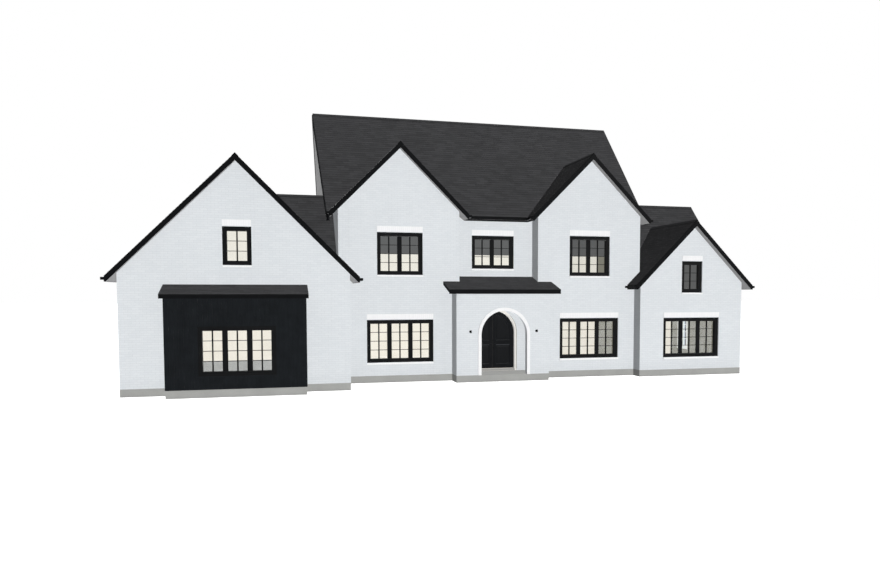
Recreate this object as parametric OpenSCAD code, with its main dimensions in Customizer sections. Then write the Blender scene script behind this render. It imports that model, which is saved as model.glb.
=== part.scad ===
// Detached two-storey house: white painted brick walls, dark steep gable roofs,
// dark boarded bay, arched entrance porch with a double door. Units: millimetres.
// X runs to the right along the front, Y to the back, Z up from the ground.

/* [Walls] */
// Thickness of every outer wall
wall_t = 230; // [150:10:400]
// Height of the concrete base above the ground
base_h = 260; // [100:10:600]
// Distance from front gable walls back to the entrance wall
recess = 717; // [400:1:1500]

/* [Main block] */
// Width of the main block
main_w = 12070; // [10000:10:15000]
// Width of the left front gable of the main block
gable_l_w = 4550; // [3800:10:4800]
// Width of the right front gable of the main block
gable_r_w = 4360; // [3800:10:4600]
// Depth of the main block behind the entrance wall
main_d = 8500; // [7000:10:10000]
// Height of the roof surface over the outer face of the eave walls
main_h = 6630; // [6000:10:7500]

/* [Left wing] */
// Width of the left wing
lw_w = 7345; // [6000:5:9000]
// Distance that the left wing stands in front of the main block
lw_front = 1990; // [1000:10:3000]
// Depth of the left wing
lw_d = 10480; // [9000:10:10700]
// Height of the roof surface over the outer face of the left wing walls
lw_h = 4200; // [3900:10:4800]
// Height of the ridge that links the left wing to the main block
link_h = 7260; // [6500:10:7600]

/* [Right wing] */
// Width of the right wing, shared wall included
rw_w = 4580; // [4000:10:6000]
// Distance that the right wing stands in front of the main block
rw_front = 556; // [300:1:1500]
// Setback of the right wing side-gable front from the main block front
rw_set = 785; // [500:1:1500]
// Depth of the right wing side-gable part
rw_d = 6800; // [5000:10:8000]
// Height of the roof surface over the outer face of the right wing walls
rw_h = 3985; // [3800:5:5000]

/* [Bay] */
// Width of the boarded bay
bay_w = 4375; // [3000:5:5000]
// Distance that the bay stands in front of the left wing
bay_d = 777; // [500:1:1200]
// Distance of the bay from the left wing corner
bay_x = 1465; // [500:5:3000]
// Height of the bay roof surface at the wing wall
bay_h = 3630; // [3400:10:3800]

/* [Porch] */
// Width of the entrance porch
porch_w = 3650; // [3300:10:4200]
// Distance that the porch stands in front of the main block
porch_d = 760; // [500:10:1500]
// Height of the porch roof surface at the entrance wall
porch_h = 4000; // [3700:10:4200]
// Pitch of the porch and bay roofs, rise over run
lean_slope = 0.29; // [0.15:0.01:0.40]

/* [Arch and door] */
// Inner radius of the arch surrounds
arch_r = 900; // [700:5:950]
// Height of the arch springing above the ground
arch_z = 1782; // [1600:1:1900]
// Width of the white arch surround
arch_trim = 122; // [80:1:250]
// Thickness of each door leaf
door_t = 45; // [35:1:60]
// Clear gap around the door leaves
door_gap = 8; // [6:1:15]
// Height of the door threshold above the base
sill_step = 75; // [30:5:100]

/* [Roof] */
// Vertical thickness of the roofs
roof_t = 200; // [150:10:300]
// Overhang of the eaves up to the outer face of the fascia
eave_o = 310; // [200:10:500]
// Overhang of the front rakes
rake_o = 300; // [200:10:500]
// Overhang of the right end of the right wing
rw_rake = 350; // [200:10:500]
// Overhang of the main roof sides at the eaves
side_o = 450; // [300:10:600]
// How much further the main roof reaches at the ends of its ridge: left end from the front, left end from the back, right end
prow_lf = 255; // [0:5:500]
prow_lb = 455; // [0:5:500]
prow_r = 110; // [0:10:300]
// Thickness of fascia and rake boards
board_t = 30; // [20:5:50]
// Width of the gutters
gutter_w = 110; // [80:10:150]

/* [Windows] */
// Width of one light of glass
light_w = 645; // [500:5:800]
// Width of one light of the bay window
bay_light = 612; // [500:1:800]
// Face width of the window frames
frame_f = 138; // [60:1:150]
// Depth of the window frames
frame_d = 160; // [80:10:180]
// Width of the bars between two lights
mull_w = 150; // [60:10:160]
// Height of the ground floor window sills
low_z = 750; // [600:10:1000]
// Height of the ground floor windows
low_h = 1600; // [1200:10:1800]
// Height of the upper floor window sills
up_z = 4030; // [3800:10:4300]
// Height of the upper floor windows
up_h = 1580; // [1200:10:1800]
// Height of the small gable windows
small_h = 1270; // [1000:10:1500]
// Height of the lintels
lint_h = 200; // [100:10:300]
// Height of the sills
sill_h = 60; // [40:10:100]

/* [Hidden] */
e = 500;
zf = base_h;
// main block: X from mx0 to mx1, Y from 0 to my1
mx0 = 1610;
mx1 = mx0 + main_w;
my0 = recess;
my1 = recess + main_d;
myr = (my0 + my1) / 2;
mzr = main_h + main_d / 2;
g1x0 = mx0;
g1x1 = mx0 + gable_l_w;
g1c = (g1x0 + g1x1) / 2;
g1z = main_h + gable_l_w / 2;
g2x0 = mx1 - gable_r_w;
g2x1 = mx1;
g2c = (g2x0 + g2x1) / 2;
g2z = main_h + gable_r_w / 2;
// main roof: ends of the ridge, of the front eave and of the back eave
mrx0 = mx0 - side_o - 171;
mrx1 = mx1 + side_o + prow_r;
mfx0 = mrx0 + prow_lf;
mbx0 = mrx0 + prow_lb;
mex1 = mrx1 - prow_r;
// left wing
lx1 = mx0 + wall_t;
lx0 = lx1 - lw_w;
lc = (lx0 + lx1) / 2;
ly0 = -lw_front;
ly1 = ly0 + lw_d;
lz = lw_h + lw_w / 2;
// link roof between left wing and main block
kyr = ly0 + lw_d / 2;
kx0 = lc + lz - link_h;
kk = mx0 - kx0;
// right wing
rx0 = mx1 - wall_t;
rx1 = rx0 + rw_w;
rc = (rx0 + rx1) / 2;
ry0 = -rw_front;
rz = rw_h + rw_w / 2;
sy0 = rw_set;
sy1 = rw_set + rw_d;
syr = (sy0 + sy1) / 2;
szr = rw_h + rw_d / 2;
// bay
bx0 = lx0 + bay_x;
bx1 = bx0 + bay_w;
by0 = ly0 - bay_d;
bay_t = 150;
bay_o = 330;
bay_so = 100;
bay_sr = 75;
lean_t = 125;
// porch
px0 = (g1x1 + g2x0) / 2 - porch_w / 2 - 50;
px1 = px0 + porch_w;
py0 = -porch_d;
ax = (px0 + px1) / 2 + 34;
pr_o = 320;
pr_s = 360;
// radius of the arched doorway in the entrance wall
doorway_r = arch_r + 60;
// door
door_z0 = zf + sill_step + 12;
door_r = arch_r;
door_y1 = my0 + wall_t - 4;
door_y0 = door_y1 - door_t;
hinge_x = door_r + 2;
hinge_y = door_y1 + 9;
hinge_r = 6;
hinge_zs = [520, 1080, 1640];
// floors
fl_main = 3250;
fl_left = 3250;
fl_right = 2850;
fl_t = 250;
// depth of the roof edge that laps over the fascia boards, and how far these reach below the roof
lip = 30;
drop = -20;
bay_drop = 3;
porch_drop = 32;
// width of each side of the ridge caps, measured level, and their thickness, measured upright
cap_w = 105;
cap_t = 24;
// windows: small = 1 light, double = 2, triple = 3
function win_w(n, l = light_w) = n * l + (n - 1) * mull_w + 2 * frame_f;
rev = 60;
low_b = 690;
lgz = 4270;
rgz = 3370;
cz = 4310;
ch = 1290;
cxw = 7687;
bwx = -1840;
// overall box of the house, used to centre the part
x_min = lx0 - eave_o - gutter_w;
x_max = rx1 + eave_o + gutter_w;
y_min = by0 - bay_o;
y_max = my1 + eave_o + gutter_w;
ox = (x_min + x_max) / 2;
oy = (y_min + y_max) / 2;

// ---------- helpers ----------
module at() translate([-ox, -oy, 0]) children();
module bx(x0, x1, y0, y1, z0, z1) translate([x0, y0, z0]) cube([x1 - x0, y1 - y0, z1 - z0]);
// extrude an X-Z outline from Y = y0 to y1
module ey(y0, y1) translate([0, y1, 0]) rotate([90, 0, 0]) linear_extrude(height = y1 - y0) children();
// extrude a Y-Z outline from X = x0 to x1
module ex(x0, x1) translate([x0, 0, 0]) rotate([90, 0, 90]) linear_extrude(height = x1 - x0) children();
// roof chevron with its ridge at (c, z) and half width h; both lower edges are cut back for the fascia boards
module chev(c, z, h, t) polygon([[c - h + board_t, z - h + board_t - t], [c, z - t], [c + h - board_t, z - h + board_t - t],
  [c + h - board_t, z - h - lip], [c + h, z - h - lip], [c + h, z - h], [c, z], [c - h, z - h], [c - h, z - h - lip], [c - h + board_t, z - h - lip]]);
// the same with square lower edges
module chev_square(c, z, h, t) polygon([[c - h, z - h - t], [c, z - t], [c + h, z - h - t], [c + h, z - h], [c, z], [c - h, z - h]]);
// gable wall outline from x0 to x1 under a roof with ridge (c, z)
module gab(x0, x1, c, z) polygon([[x0, zf], [x1, zf], [x1, z - roof_t - abs(x1 - c)], [c, z - roof_t], [x0, z - roof_t - abs(x0 - c)]]);
// opening for a window on a wall that faces -Y or +Y
module hole_y(c, n, z, h, y) bx(c - win_w(n) / 2, c + win_w(n) / 2, y - e, y + wall_t + e, z, z + h);
module hole_x(c, n, z, h, x) bx(x - e, x + wall_t + e, c - win_w(n) / 2, c + win_w(n) / 2, z, z + h);
// window frame centred on X = 0 with its outer face toward -Y at Y = 0
module frame(n, h, l = light_w) {
  w = win_w(n, l);
  difference() {
    bx(-w / 2, w / 2, 0, frame_d, 0, h);
    for (i = [0 : n - 1])
      bx(-w / 2 + frame_f + i * (l + mull_w), -w / 2 + frame_f + i * (l + mull_w) + l, -e, frame_d + e, frame_f, h - frame_f);
    if (n > 1) bx(-w / 2 + frame_f, w / 2 - frame_f, -e, frame_d - 80, frame_f, h - frame_f);
  }
}
module panes(n, h, l = light_w) {
  w = win_w(n, l);
  for (i = [0 : n - 1])
    bx(-w / 2 + frame_f + i * (l + mull_w), -w / 2 + frame_f + i * (l + mull_w) + l, frame_d - 50, frame_d - 35, frame_f, h - frame_f);
}
// the same placed on a wall: outer face at (c, y), facing -Y (front), +Y (rear), -X or +X
module on_front(c, y, z) translate([c, y + rev, z]) children();
module on_rear(c, y, z) translate([c, y - rev, z]) rotate([0, 0, 180]) children();
module on_left(c, x, z) translate([x + rev, c, z]) rotate([0, 0, -90]) children();
module on_right(c, x, z) translate([x - rev, c, z]) rotate([0, 0, 90]) children();

// ---------- base ----------
module foundation() color("#9b9d99") {
  union() {
    bx(lx0, lx1, ly0, 0, 0, zf);
    bx(lx0, mx0, -1, ly1, 0, zf);
    bx(bx0, bx1, by0, ly0 + 1, 0, zf);
    bx(mx0 - 1, g1x1, 0, my1, 0, zf);
    bx(g1x1 - 1, g2x0 + 1, my0, my1, 0, zf);
    bx(g2x0, mx1, 0, my1, 0, zf);
    bx(mx1 - 1, rx1, 0, sy1, 0, zf);
    bx(rx0, rx1, ry0, 1, 0, zf);
  }
}
module porch_slab() color("#9b9d99") {
  union() {
    bx(px0, px1, py0, 0, 0, zf);
    bx(g1x1, g2x0, -1, my0, 0, zf);
  }
}

// ---------- left wing ----------
module left_wing_front_wall() color("#dfe3e6") difference() {
  ey(ly0, ly0 + wall_t) gab(lx0, lx1, lc, lz);
  bx(bx0 + bay_t, bx1 - bay_t, ly0 - e, ly0 + wall_t + e, zf - e, 3000);
  hole_y(lc, 1, lgz, small_h, ly0);
}
module left_wing_left_wall() color("#dfe3e6") difference() {
  ey(ly0 + wall_t, ly1 - wall_t) polygon([[lx0, zf], [lx0 + wall_t, zf], [lx0 + wall_t, lw_h - roof_t + wall_t], [lx0, lw_h - roof_t]]);
  for (c = lw_side) hole_x(c, 2, low_z, low_h, lx0);
}
lw_side = [ly0 + lw_d * 0.28, ly0 + lw_d * 0.72];
module left_wing_right_wall() color("#dfe3e6")
  ey(ly0 + wall_t, 0) polygon([[mx0, zf], [lx1, zf], [lx1, lw_h - roof_t], [mx0, lw_h - roof_t + wall_t]]);
module left_wing_back_wall() color("#dfe3e6") difference() {
  ey(ly1 - wall_t, ly1) gab(lx0, mx0, lc, lz);
  for (c = rear_lw) hole_y(c, 1, low_z, low_h, ly1 - wall_t);
  hole_y(lc, 1, lbz, small_h, ly1 - wall_t);
}
rear_lw = [lc - 2890, lc + 2890];
lbz = 3370;
module bay_walls() color("#1c1e20") difference() {
  ex(bx0, bx1) polygon([[by0, zf], [ly0, zf], [ly0, bay_h - lean_t], [by0, bay_h - lean_t - bay_d * lean_slope]]);
  bx(bx0 + bay_t, bx1 - bay_t, by0 + bay_t, ly0 + e, zf - e, bay_h);
  bx(bwx - win_w(3, bay_light) / 2, bwx + win_w(3, bay_light) / 2, by0 - e, by0 + bay_t + e, low_b, low_b + low_h);
}
// section of a lean-to roof that falls from (y1, z) to its front edge at y0, cut back there for the fascia
module lean(y0, y1, z) polygon([[y1, z - lean_t], [y1, z], [y0, z - (y1 - y0) * lean_slope], [y0, z - (y1 - y0) * lean_slope - lip],
  [y0 + board_t, z - (y1 - y0) * lean_slope - lip], [y0 + board_t, z - lean_t - (y1 - y0 - board_t) * lean_slope]]);
module bay_roof() color("#3c3c3e")
  ex(bx0 - bay_so, bx1 + bay_sr) lean(by0 - bay_o, ly0, bay_h);

// ---------- main block ----------
module main_side() polygon([[wall_t, zf], [my1 - wall_t, zf], [my1 - wall_t, main_h - roof_t + wall_t],
  [myr, mzr - roof_t], [my0, main_h - roof_t], [wall_t, main_h - roof_t]]);
module main_left_wall() color("#dfe3e6") ex(mx0, mx0 + wall_t) main_side();
module main_right_wall() color("#dfe3e6") ex(mx1 - wall_t, mx1) main_side();
rear_low = [mx0 + main_w / 2 - 4780, mx0 + main_w / 2, mx0 + main_w / 2 + 4780];
module main_back_wall() color("#dfe3e6") difference() {
  ex(mx0, mx1) polygon([[my1 - wall_t, zf], [my1, zf], [my1, main_h - roof_t], [my1 - wall_t, main_h - roof_t + wall_t]]);
  for (c = rear_low) hole_y(c, 2, low_z, low_h, my1 - wall_t);
  for (c = rear_low) hole_y(c, 2, up_z, up_h, my1 - wall_t);
}
module left_gable_wall() color("#dfe3e6") union() {
  difference() {
    ey(0, wall_t) gab(g1x0, g1x1, g1c, g1z);
    hole_y(g1c, 3, low_z, low_h, 0);
    hole_y(g1c, 2, up_z, up_h, 0);
  }
  ey(wall_t - 1, my0) polygon([[g1x1 - wall_t, zf], [g1x1, zf], [g1x1, main_h - roof_t], [g1x1 - wall_t, main_h - roof_t + wall_t]]);
}
module right_gable_wall() color("#dfe3e6") union() {
  difference() {
    ey(0, wall_t) gab(g2x0, g2x1, g2c, g2z);
    hole_y(g2c, 3, low_z, low_h, 0);
    hole_y(g2c, 2, up_z, up_h, 0);
  }
  ey(wall_t - 1, my0) polygon([[g2x0, zf], [g2x0 + wall_t, zf], [g2x0 + wall_t, main_h - roof_t + wall_t], [g2x0, main_h - roof_t]]);
}
head_z = arch_z - 120;
module entrance_wall_left() color("#dfe3e6") bx(g1x1 - wall_t, ax - doorway_r, my0, my0 + wall_t, zf, head_z);
module entrance_wall_right() color("#dfe3e6") bx(ax + doorway_r, g2x0 + wall_t, my0, my0 + wall_t, zf, head_z);
module entrance_wall_head() color("#dfe3e6") difference() {
  ex(g1x1 - wall_t, g2x0 + wall_t) polygon([[my0, head_z], [my0 + wall_t, head_z], [my0 + wall_t, main_h - roof_t + wall_t], [my0, main_h - roof_t]]);
  bx(ax - doorway_r, ax + doorway_r, my0 - e, my0 + wall_t + e, head_z - e, arch_z);
  ey(my0 - e, my0 + wall_t + e) translate([ax, arch_z]) circle(r = doorway_r, $fn = 96);
  hole_y(cxw, 2, cz, ch, my0);
}

// ---------- porch ----------
function porch_top(y) = porch_h - lean_t - (my0 - y) * lean_slope;
module porch_wall_left() color("#dfe3e6") union() {
  bx(px0, ax - arch_r - 10, py0, py0 + wall_t, zf, head_z);
  ex(px0, px0 + wall_t) polygon([[py0 + wall_t - 1, zf], [0, zf], [0, head_z], [py0 + wall_t - 1, head_z]]);
}
module porch_wall_right() color("#dfe3e6") union() {
  bx(ax + arch_r + 10, px1, py0, py0 + wall_t, zf, head_z);
  ex(px1 - wall_t, px1) polygon([[py0 + wall_t - 1, zf], [0, zf], [0, head_z], [py0 + wall_t - 1, head_z]]);
}
module porch_arch_head() color("#dfe3e6") difference() {
  union() {
    ex(px0, px1) polygon([[py0, head_z], [py0 + wall_t, head_z], [py0 + wall_t, porch_top(py0 + wall_t)], [py0, porch_top(py0)]]);
    ex(px0, px0 + wall_t) polygon([[py0 + wall_t - 1, head_z], [0, head_z], [0, porch_top(0)], [py0 + wall_t - 1, porch_top(py0 + wall_t - 1)]]);
    ex(px1 - wall_t, px1) polygon([[py0 + wall_t - 1, head_z], [0, head_z], [0, porch_top(0)], [py0 + wall_t - 1, porch_top(py0 + wall_t - 1)]]);
  }
  bx(ax - arch_r - 10, ax + arch_r + 10, py0 - e, py0 + wall_t + e, head_z - e, arch_z);
  ey(py0 - e, py0 + wall_t + e) translate([ax, arch_z]) circle(r = arch_r + 10, $fn = 96);
}
// arched band between radii r0 and r1, standing on z0
module band(r0, r1, z0) difference() {
  union() {
    translate([ax, arch_z]) circle(r = r1, $fn = 96);
    translate([ax - r1, z0]) square([2 * r1, arch_z - z0]);
  }
  translate([ax, arch_z]) circle(r = r0, $fn = 96);
  translate([ax - r0, z0 - e]) square([2 * r0, arch_z - z0 + e]);
}
module porch_roof() color("#3c3c3e") difference() {
  ex(px0 - pr_s + 20, px1 + pr_s) lean(py0 - pr_o, my0, porch_h);
  bx(px0 - e, g1x1, 0, my0 + e, 3000, 5000);
  bx(g2x0, px1 + e, 0, my0 + e, 3000, 5000);
}
module arch_surround() color("#f4f5f5") ey(py0 - 30, py0) intersection() {
  band(arch_r, arch_r + arch_trim, zf);
  translate([ax - 2000, zf]) square([4000, 3000]);
}
module door_frame() color("#f0f0ee") union() {
  ey(my0 + 60, door_y0 - 4) band(door_r - 25, doorway_r, zf);
  ey(door_y0 - 5, my0 + wall_t) band(door_r + door_gap, doorway_r, zf);
  bx(ax - doorway_r + 1, ax + doorway_r - 1, my0 + 30, my0 + wall_t, zf, zf + sill_step);
  // hinge plates on the inner face of the frame
  for (s = [-1, 1]) for (z = hinge_zs) translate([ax, 0, z - 45])
    bx(min(s * (hinge_x + hinge_r + 2), s * (doorway_r - 5)), max(s * (hinge_x + hinge_r + 2), s * (doorway_r - 5)), my0 + wall_t - 1, my0 + wall_t + 4, 0, 90);
}
// right half of the door outline; leaf edges keep the gap to frame and to each other
module leaf_outline() intersection() {
  union() {
    translate([0, arch_z]) circle(r = door_r, $fn = 96);
    translate([-door_r, door_z0]) square([2 * door_r, arch_z - door_z0]);
  }
  translate([door_gap / 2 + 1, door_z0]) square([2000, 4000]);
}
module leaf() union() {
  ey(door_y0, door_y1) leaf_outline();
  // lever handle plate and lever
  ey(door_y0 - 12, door_y0 + 1) translate([50, 1200]) square([45, 220]);
  ey(door_y0 - 50, door_y0 - 11) translate([72.5, 1320]) circle(r = 10, $fn = 32);
  ey(door_y0 - 62, door_y0 - 45) translate([62.5, 1310]) square([120, 20]);
  // three hinges: plate on the inner face and round knuckle on the hinge axis
  for (z = hinge_zs) translate([0, 0, z - 45]) {
    translate([hinge_x, hinge_y, 0]) cylinder(r = hinge_r, h = 90, $fn = 32);
    bx(hinge_x - 40, hinge_x, door_y1 - 1, hinge_y - 2, 0, 90);
  }
}
module door_leaf_right() color("#17181a") translate([ax, 0, 0]) leaf();
module door_leaf_left() color("#17181a") translate([ax, 0, 0]) mirror([1, 0, 0]) leaf();

// ---------- right wing ----------
module right_wing_front_wall() color("#dfe3e6") union() {
  difference() {
    ey(ry0, ry0 + wall_t) gab(rx0, rx1, rc, rz);
    hole_y(rc, 3, low_z, low_h, ry0);
    hole_y(rc, 1, rgz, small_h, ry0);
  }
  ey(ry0 + wall_t - 1, 0) polygon([[rx0, zf], [mx1, zf], [mx1, rw_h - roof_t + wall_t], [rx0, rw_h - roof_t]]);
}
rw_side = [sy0 + 2985];
module right_wing_right_wall() color("#dfe3e6") difference() {
  ex(rx1 - wall_t, rx1) polygon([[ry0 + wall_t, zf], [sy1 - wall_t, zf], [sy1 - wall_t, rw_h - roof_t + wall_t],
    [syr, szr - roof_t], [sy0, rw_h - roof_t], [ry0 + wall_t, rw_h - roof_t]]);
  for (c = rw_side) hole_x(c, 1, low_z, low_h, rx1 - wall_t);
  hole_x(syr, 1, lgz, small_h, rx1 - wall_t);
}
module right_wing_back_wall() color("#dfe3e6") difference() {
  ex(mx1, rx1) polygon([[sy1 - wall_t, zf], [sy1, zf], [sy1, rw_h - roof_t], [sy1 - wall_t, rw_h - roof_t + wall_t]]);
  hole_y((mx1 + rx1) / 2, 3, low_z, low_h, sy1 - wall_t);
}

// ---------- floors ----------
module upper_floor_main() color("#e9e3d3") union() {
  bx(mx0 + wall_t, mx1 - wall_t, my0 + wall_t, my1 - wall_t, fl_main - fl_t, fl_main);
  bx(mx0 + wall_t, g1x1 - wall_t, wall_t, my0 + wall_t + 1, fl_main - fl_t, fl_main);
  bx(g2x0 + wall_t, mx1 - wall_t, wall_t, my0 + wall_t + 1, fl_main - fl_t, fl_main);
}
module upper_floor_wings() color("#e9e3d3") {
  bx(lx0 + wall_t, mx0, ly0 + wall_t, ly1 - wall_t, fl_left - fl_t, fl_left);
  bx(mx1, rx1 - wall_t, ry0 + wall_t, sy1 - wall_t, fl_right - fl_t, fl_right);
}

// ---------- roofs ----------
// plan outlines in front of the valleys
module plan_g1() polygon([[g1x0 - eave_o, -rake_o], [g1x1 + eave_o, -rake_o], [g1x1 + eave_o, my0 - eave_o],
  [g1c, my0 + gable_l_w / 2], [g1x0 - eave_o, my0 - eave_o]]);
module plan_g2() polygon([[g2x0 - eave_o, -rake_o], [g2x1 + eave_o, -rake_o], [g2x1 + eave_o, my0 - eave_o],
  [g2c, my0 + gable_r_w / 2], [g2x0 - eave_o, my0 - eave_o]]);
module plan_link() polygon([[kx0, kyr], [mx0, kyr - kk], [mx0, kyr + kk]]);
module plan_rf() polygon([[rx0 - eave_o, ry0 - rake_o], [rx1 + eave_o, ry0 - rake_o], [rx1 + eave_o, sy0 - eave_o],
  [rc, sy0 + rw_w / 2], [rx0 - eave_o, sy0 - eave_o]]);
module up() linear_extrude(height = 14000) children();
module plan_main(o) polygon([[mfx0 - o, my0 - eave_o - 1], [mrx0 - o, myr], [mbx0 - o, my1 + eave_o + 1],
  [mex1 + o, my1 + eave_o + 1], [mrx1 + o, myr], [mex1 + o, my0 - eave_o - 1]]);
module main_roof() color("#3c3c3e") difference() {
  intersection() {
    ex(mrx0, mrx1) chev(myr, mzr, main_d / 2 + eave_o, roof_t);
    up() plan_main(0);
  }
  up() plan_g1();
  up() plan_g2();
}
module front_gable_roofs() color("#3c3c3e") {
  intersection() {
    ey(-rake_o, my0 + gable_l_w) chev(g1c, g1z, gable_l_w / 2 + eave_o, roof_t);
    up() plan_g1();
  }
  intersection() {
    ey(-rake_o, my0 + gable_r_w) chev(g2c, g2z, gable_r_w / 2 + eave_o, roof_t);
    up() plan_g2();
  }
}
module left_wing_roof() color("#3c3c3e") difference() {
  ey(ly0 - rake_o, ly1 + rake_o) chev(lc, lz, lw_w / 2 + eave_o, roof_t);
  up() plan_link();
  bx(mx0, mx1, 0, my1, 0, 12000);
}
module link_roof() color("#3c3c3e") intersection() {
  ex(kx0, mx0) chev_square(kyr, link_h, kk, roof_t);
  up() plan_link();
}
module right_wing_gable_roof() color("#3c3c3e") intersection() {
  ey(ry0 - rake_o, rc) chev(rc, rz, rw_w / 2 + eave_o, roof_t);
  up() difference() { plan_rf(); translate([mx0, 0]) square([main_w, 9000]); }
}
module right_wing_roof() color("#3c3c3e") difference() {
  ex(mx1, rx1 + rw_rake) chev(syr, szr, rw_d / 2 + eave_o, roof_t);
  up() plan_rf();
}

// folded cap over a ridge at (c, z)
module cap(c, z) polygon([[c - cap_w, z - cap_w], [c, z], [c + cap_w, z - cap_w], [c + cap_w, z - cap_w + cap_t], [c, z + cap_t], [c - cap_w, z - cap_w + cap_t]]);
module ridge_caps() color("#343436") {
  ex(mrx0, mrx1) cap(myr, mzr);
  ey(-rake_o, g1z - mzr + myr - cap_w) cap(g1c, g1z);
  ey(-rake_o, g2z - mzr + myr - cap_w) cap(g2c, g2z);
  ey(ly0 - rake_o, ly1 + rake_o) cap(lc, lz);
  ex(kx0 + 2 * cap_w, mx0) cap(kyr, link_h);
  ey(ry0 - rake_o, syr - (szr - rz) - cap_w) cap(rc, rz);
  ex(mx1, rx1 + rw_rake) cap(syr, szr);
}

// ---------- trim ----------
// rake board outline: follows the roof, a little below its surface, with feet cut level
foot = roof_t + drop;
rake_h = 230;
module rake_line(c, z, h) polygon([[c - h, z - h - foot], [c - h + rake_h - foot, z - h - foot], [c, z - rake_h], [c + h - rake_h + foot, z - h - foot], [c + h, z - h - foot],
  [c + h, z - h - lip], [c, z - lip], [c - h, z - h - lip]]);
module rake_boards() color("#1b1c1e") {
  ey(ly0 - rake_o - board_t, ly0 - rake_o) rake_line(lc, lz, lw_w / 2 + eave_o);
  ey(-rake_o - board_t, -rake_o) rake_line(g1c, g1z, gable_l_w / 2 + eave_o);
  ey(-rake_o - board_t, -rake_o) rake_line(g2c, g2z, gable_r_w / 2 + eave_o);
  ey(ry0 - rake_o - board_t, ry0 - rake_o) rake_line(rc, rz, rw_w / 2 + eave_o);
  ey(ly1 + rake_o, ly1 + rake_o + board_t) intersection() {
    rake_line(lc, lz, lw_w / 2 + eave_o);
    translate([lx0 - e, 0]) square([mx0 - lx0 + e, 9000]);
  }
  intersection() {
    ex(mrx0 - 100, mrx0 + 800) rake_line(myr, mzr, main_d / 2 + eave_o);
    up() difference() { plan_main(board_t); plan_main(0); }
  }
  intersection() {
    ex(mrx1 - 400, mrx1 + 100) rake_line(myr, mzr, main_d / 2 + eave_o);
    up() difference() { plan_main(board_t); plan_main(0); }
  }
  ex(rx1 + rw_rake, rx1 + rw_rake + board_t) rake_line(syr, szr, rw_d / 2 + eave_o);
}
// fascia board section, outer face toward +X at X = 0, for a roof edge at height h
module fascia_s(h) translate([-board_t, h - roof_t - drop]) square([board_t, roof_t + drop - lip]);
module fascia_boards() color("#1b1c1e") union() {
  ey(ly0 - rake_o, ly1 + rake_o) translate([lx0 - eave_o, 0]) mirror([1, 0]) fascia_s(lw_h - eave_o);
  ey(ly0 - rake_o, 0) translate([lx1 + eave_o, 0]) fascia_s(lw_h - eave_o);
  // main block: both front gables, the eave between them, and the short ends beside them
  ey(-rake_o, my0 - eave_o + board_t) translate([g1x0 - eave_o, 0]) mirror([1, 0]) fascia_s(main_h - eave_o);
  ey(-rake_o, my0 - eave_o + board_t) translate([g1x1 + eave_o, 0]) fascia_s(main_h - eave_o);
  ey(-rake_o, my0 - eave_o + board_t) translate([g2x0 - eave_o, 0]) mirror([1, 0]) fascia_s(main_h - eave_o);
  ey(-rake_o, my0 - eave_o + board_t) translate([g2x1 + eave_o, 0]) fascia_s(main_h - eave_o);
  ex(mfx0, g1x0 - eave_o + 1) translate([my0 - eave_o, 0]) mirror([1, 0]) fascia_s(main_h - eave_o);
  ex(g1x1 + eave_o - 1, g2x0 - eave_o + 1) translate([my0 - eave_o, 0]) mirror([1, 0]) fascia_s(main_h - eave_o);
  ex(g2x1 + eave_o - 1, mex1) translate([my0 - eave_o, 0]) mirror([1, 0]) fascia_s(main_h - eave_o);
  ex(mbx0, mex1) translate([my1 + eave_o, 0]) fascia_s(main_h - eave_o);
  // right wing
  ey(ry0 - rake_o, 0) translate([rx0 - eave_o, 0]) mirror([1, 0]) fascia_s(rw_h - eave_o);
  ey(ry0 - rake_o, sy0 - eave_o + board_t) translate([rx1 + eave_o, 0]) fascia_s(rw_h - eave_o);
  ex(rx1 + eave_o - 1, rx1 + rw_rake) translate([sy0 - eave_o, 0]) mirror([1, 0]) fascia_s(rw_h - eave_o);
  ex(mx1, rx1 + rw_rake) translate([sy1 + eave_o, 0]) fascia_s(rw_h - eave_o);
  // bay and porch
  bx(bx0 - bay_so, bx1 + bay_sr, by0 - bay_o, by0 - bay_o + board_t, bay_h - (bay_d + bay_o) * lean_slope - lean_t - bay_drop, bay_h - (bay_d + bay_o) * lean_slope - lip);
  bx(px0 - pr_s + 20, px1 + pr_s, py0 - pr_o, py0 - pr_o + board_t, porch_h - (my0 - py0 + pr_o) * lean_slope - lean_t - porch_drop, porch_h - (my0 - py0 + pr_o) * lean_slope - lip);
}
// gutter section hung on a fascia at X = 0, open at the top
module gutter_s() translate([0, -90]) difference() {
  square([gutter_w, 90]);
  translate([12, 12]) square([gutter_w - 24, 90]);
}
gz_l = lw_h - eave_o - lip;
gz_m = main_h - eave_o - lip;
gz_r = rw_h - eave_o - lip;
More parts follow.
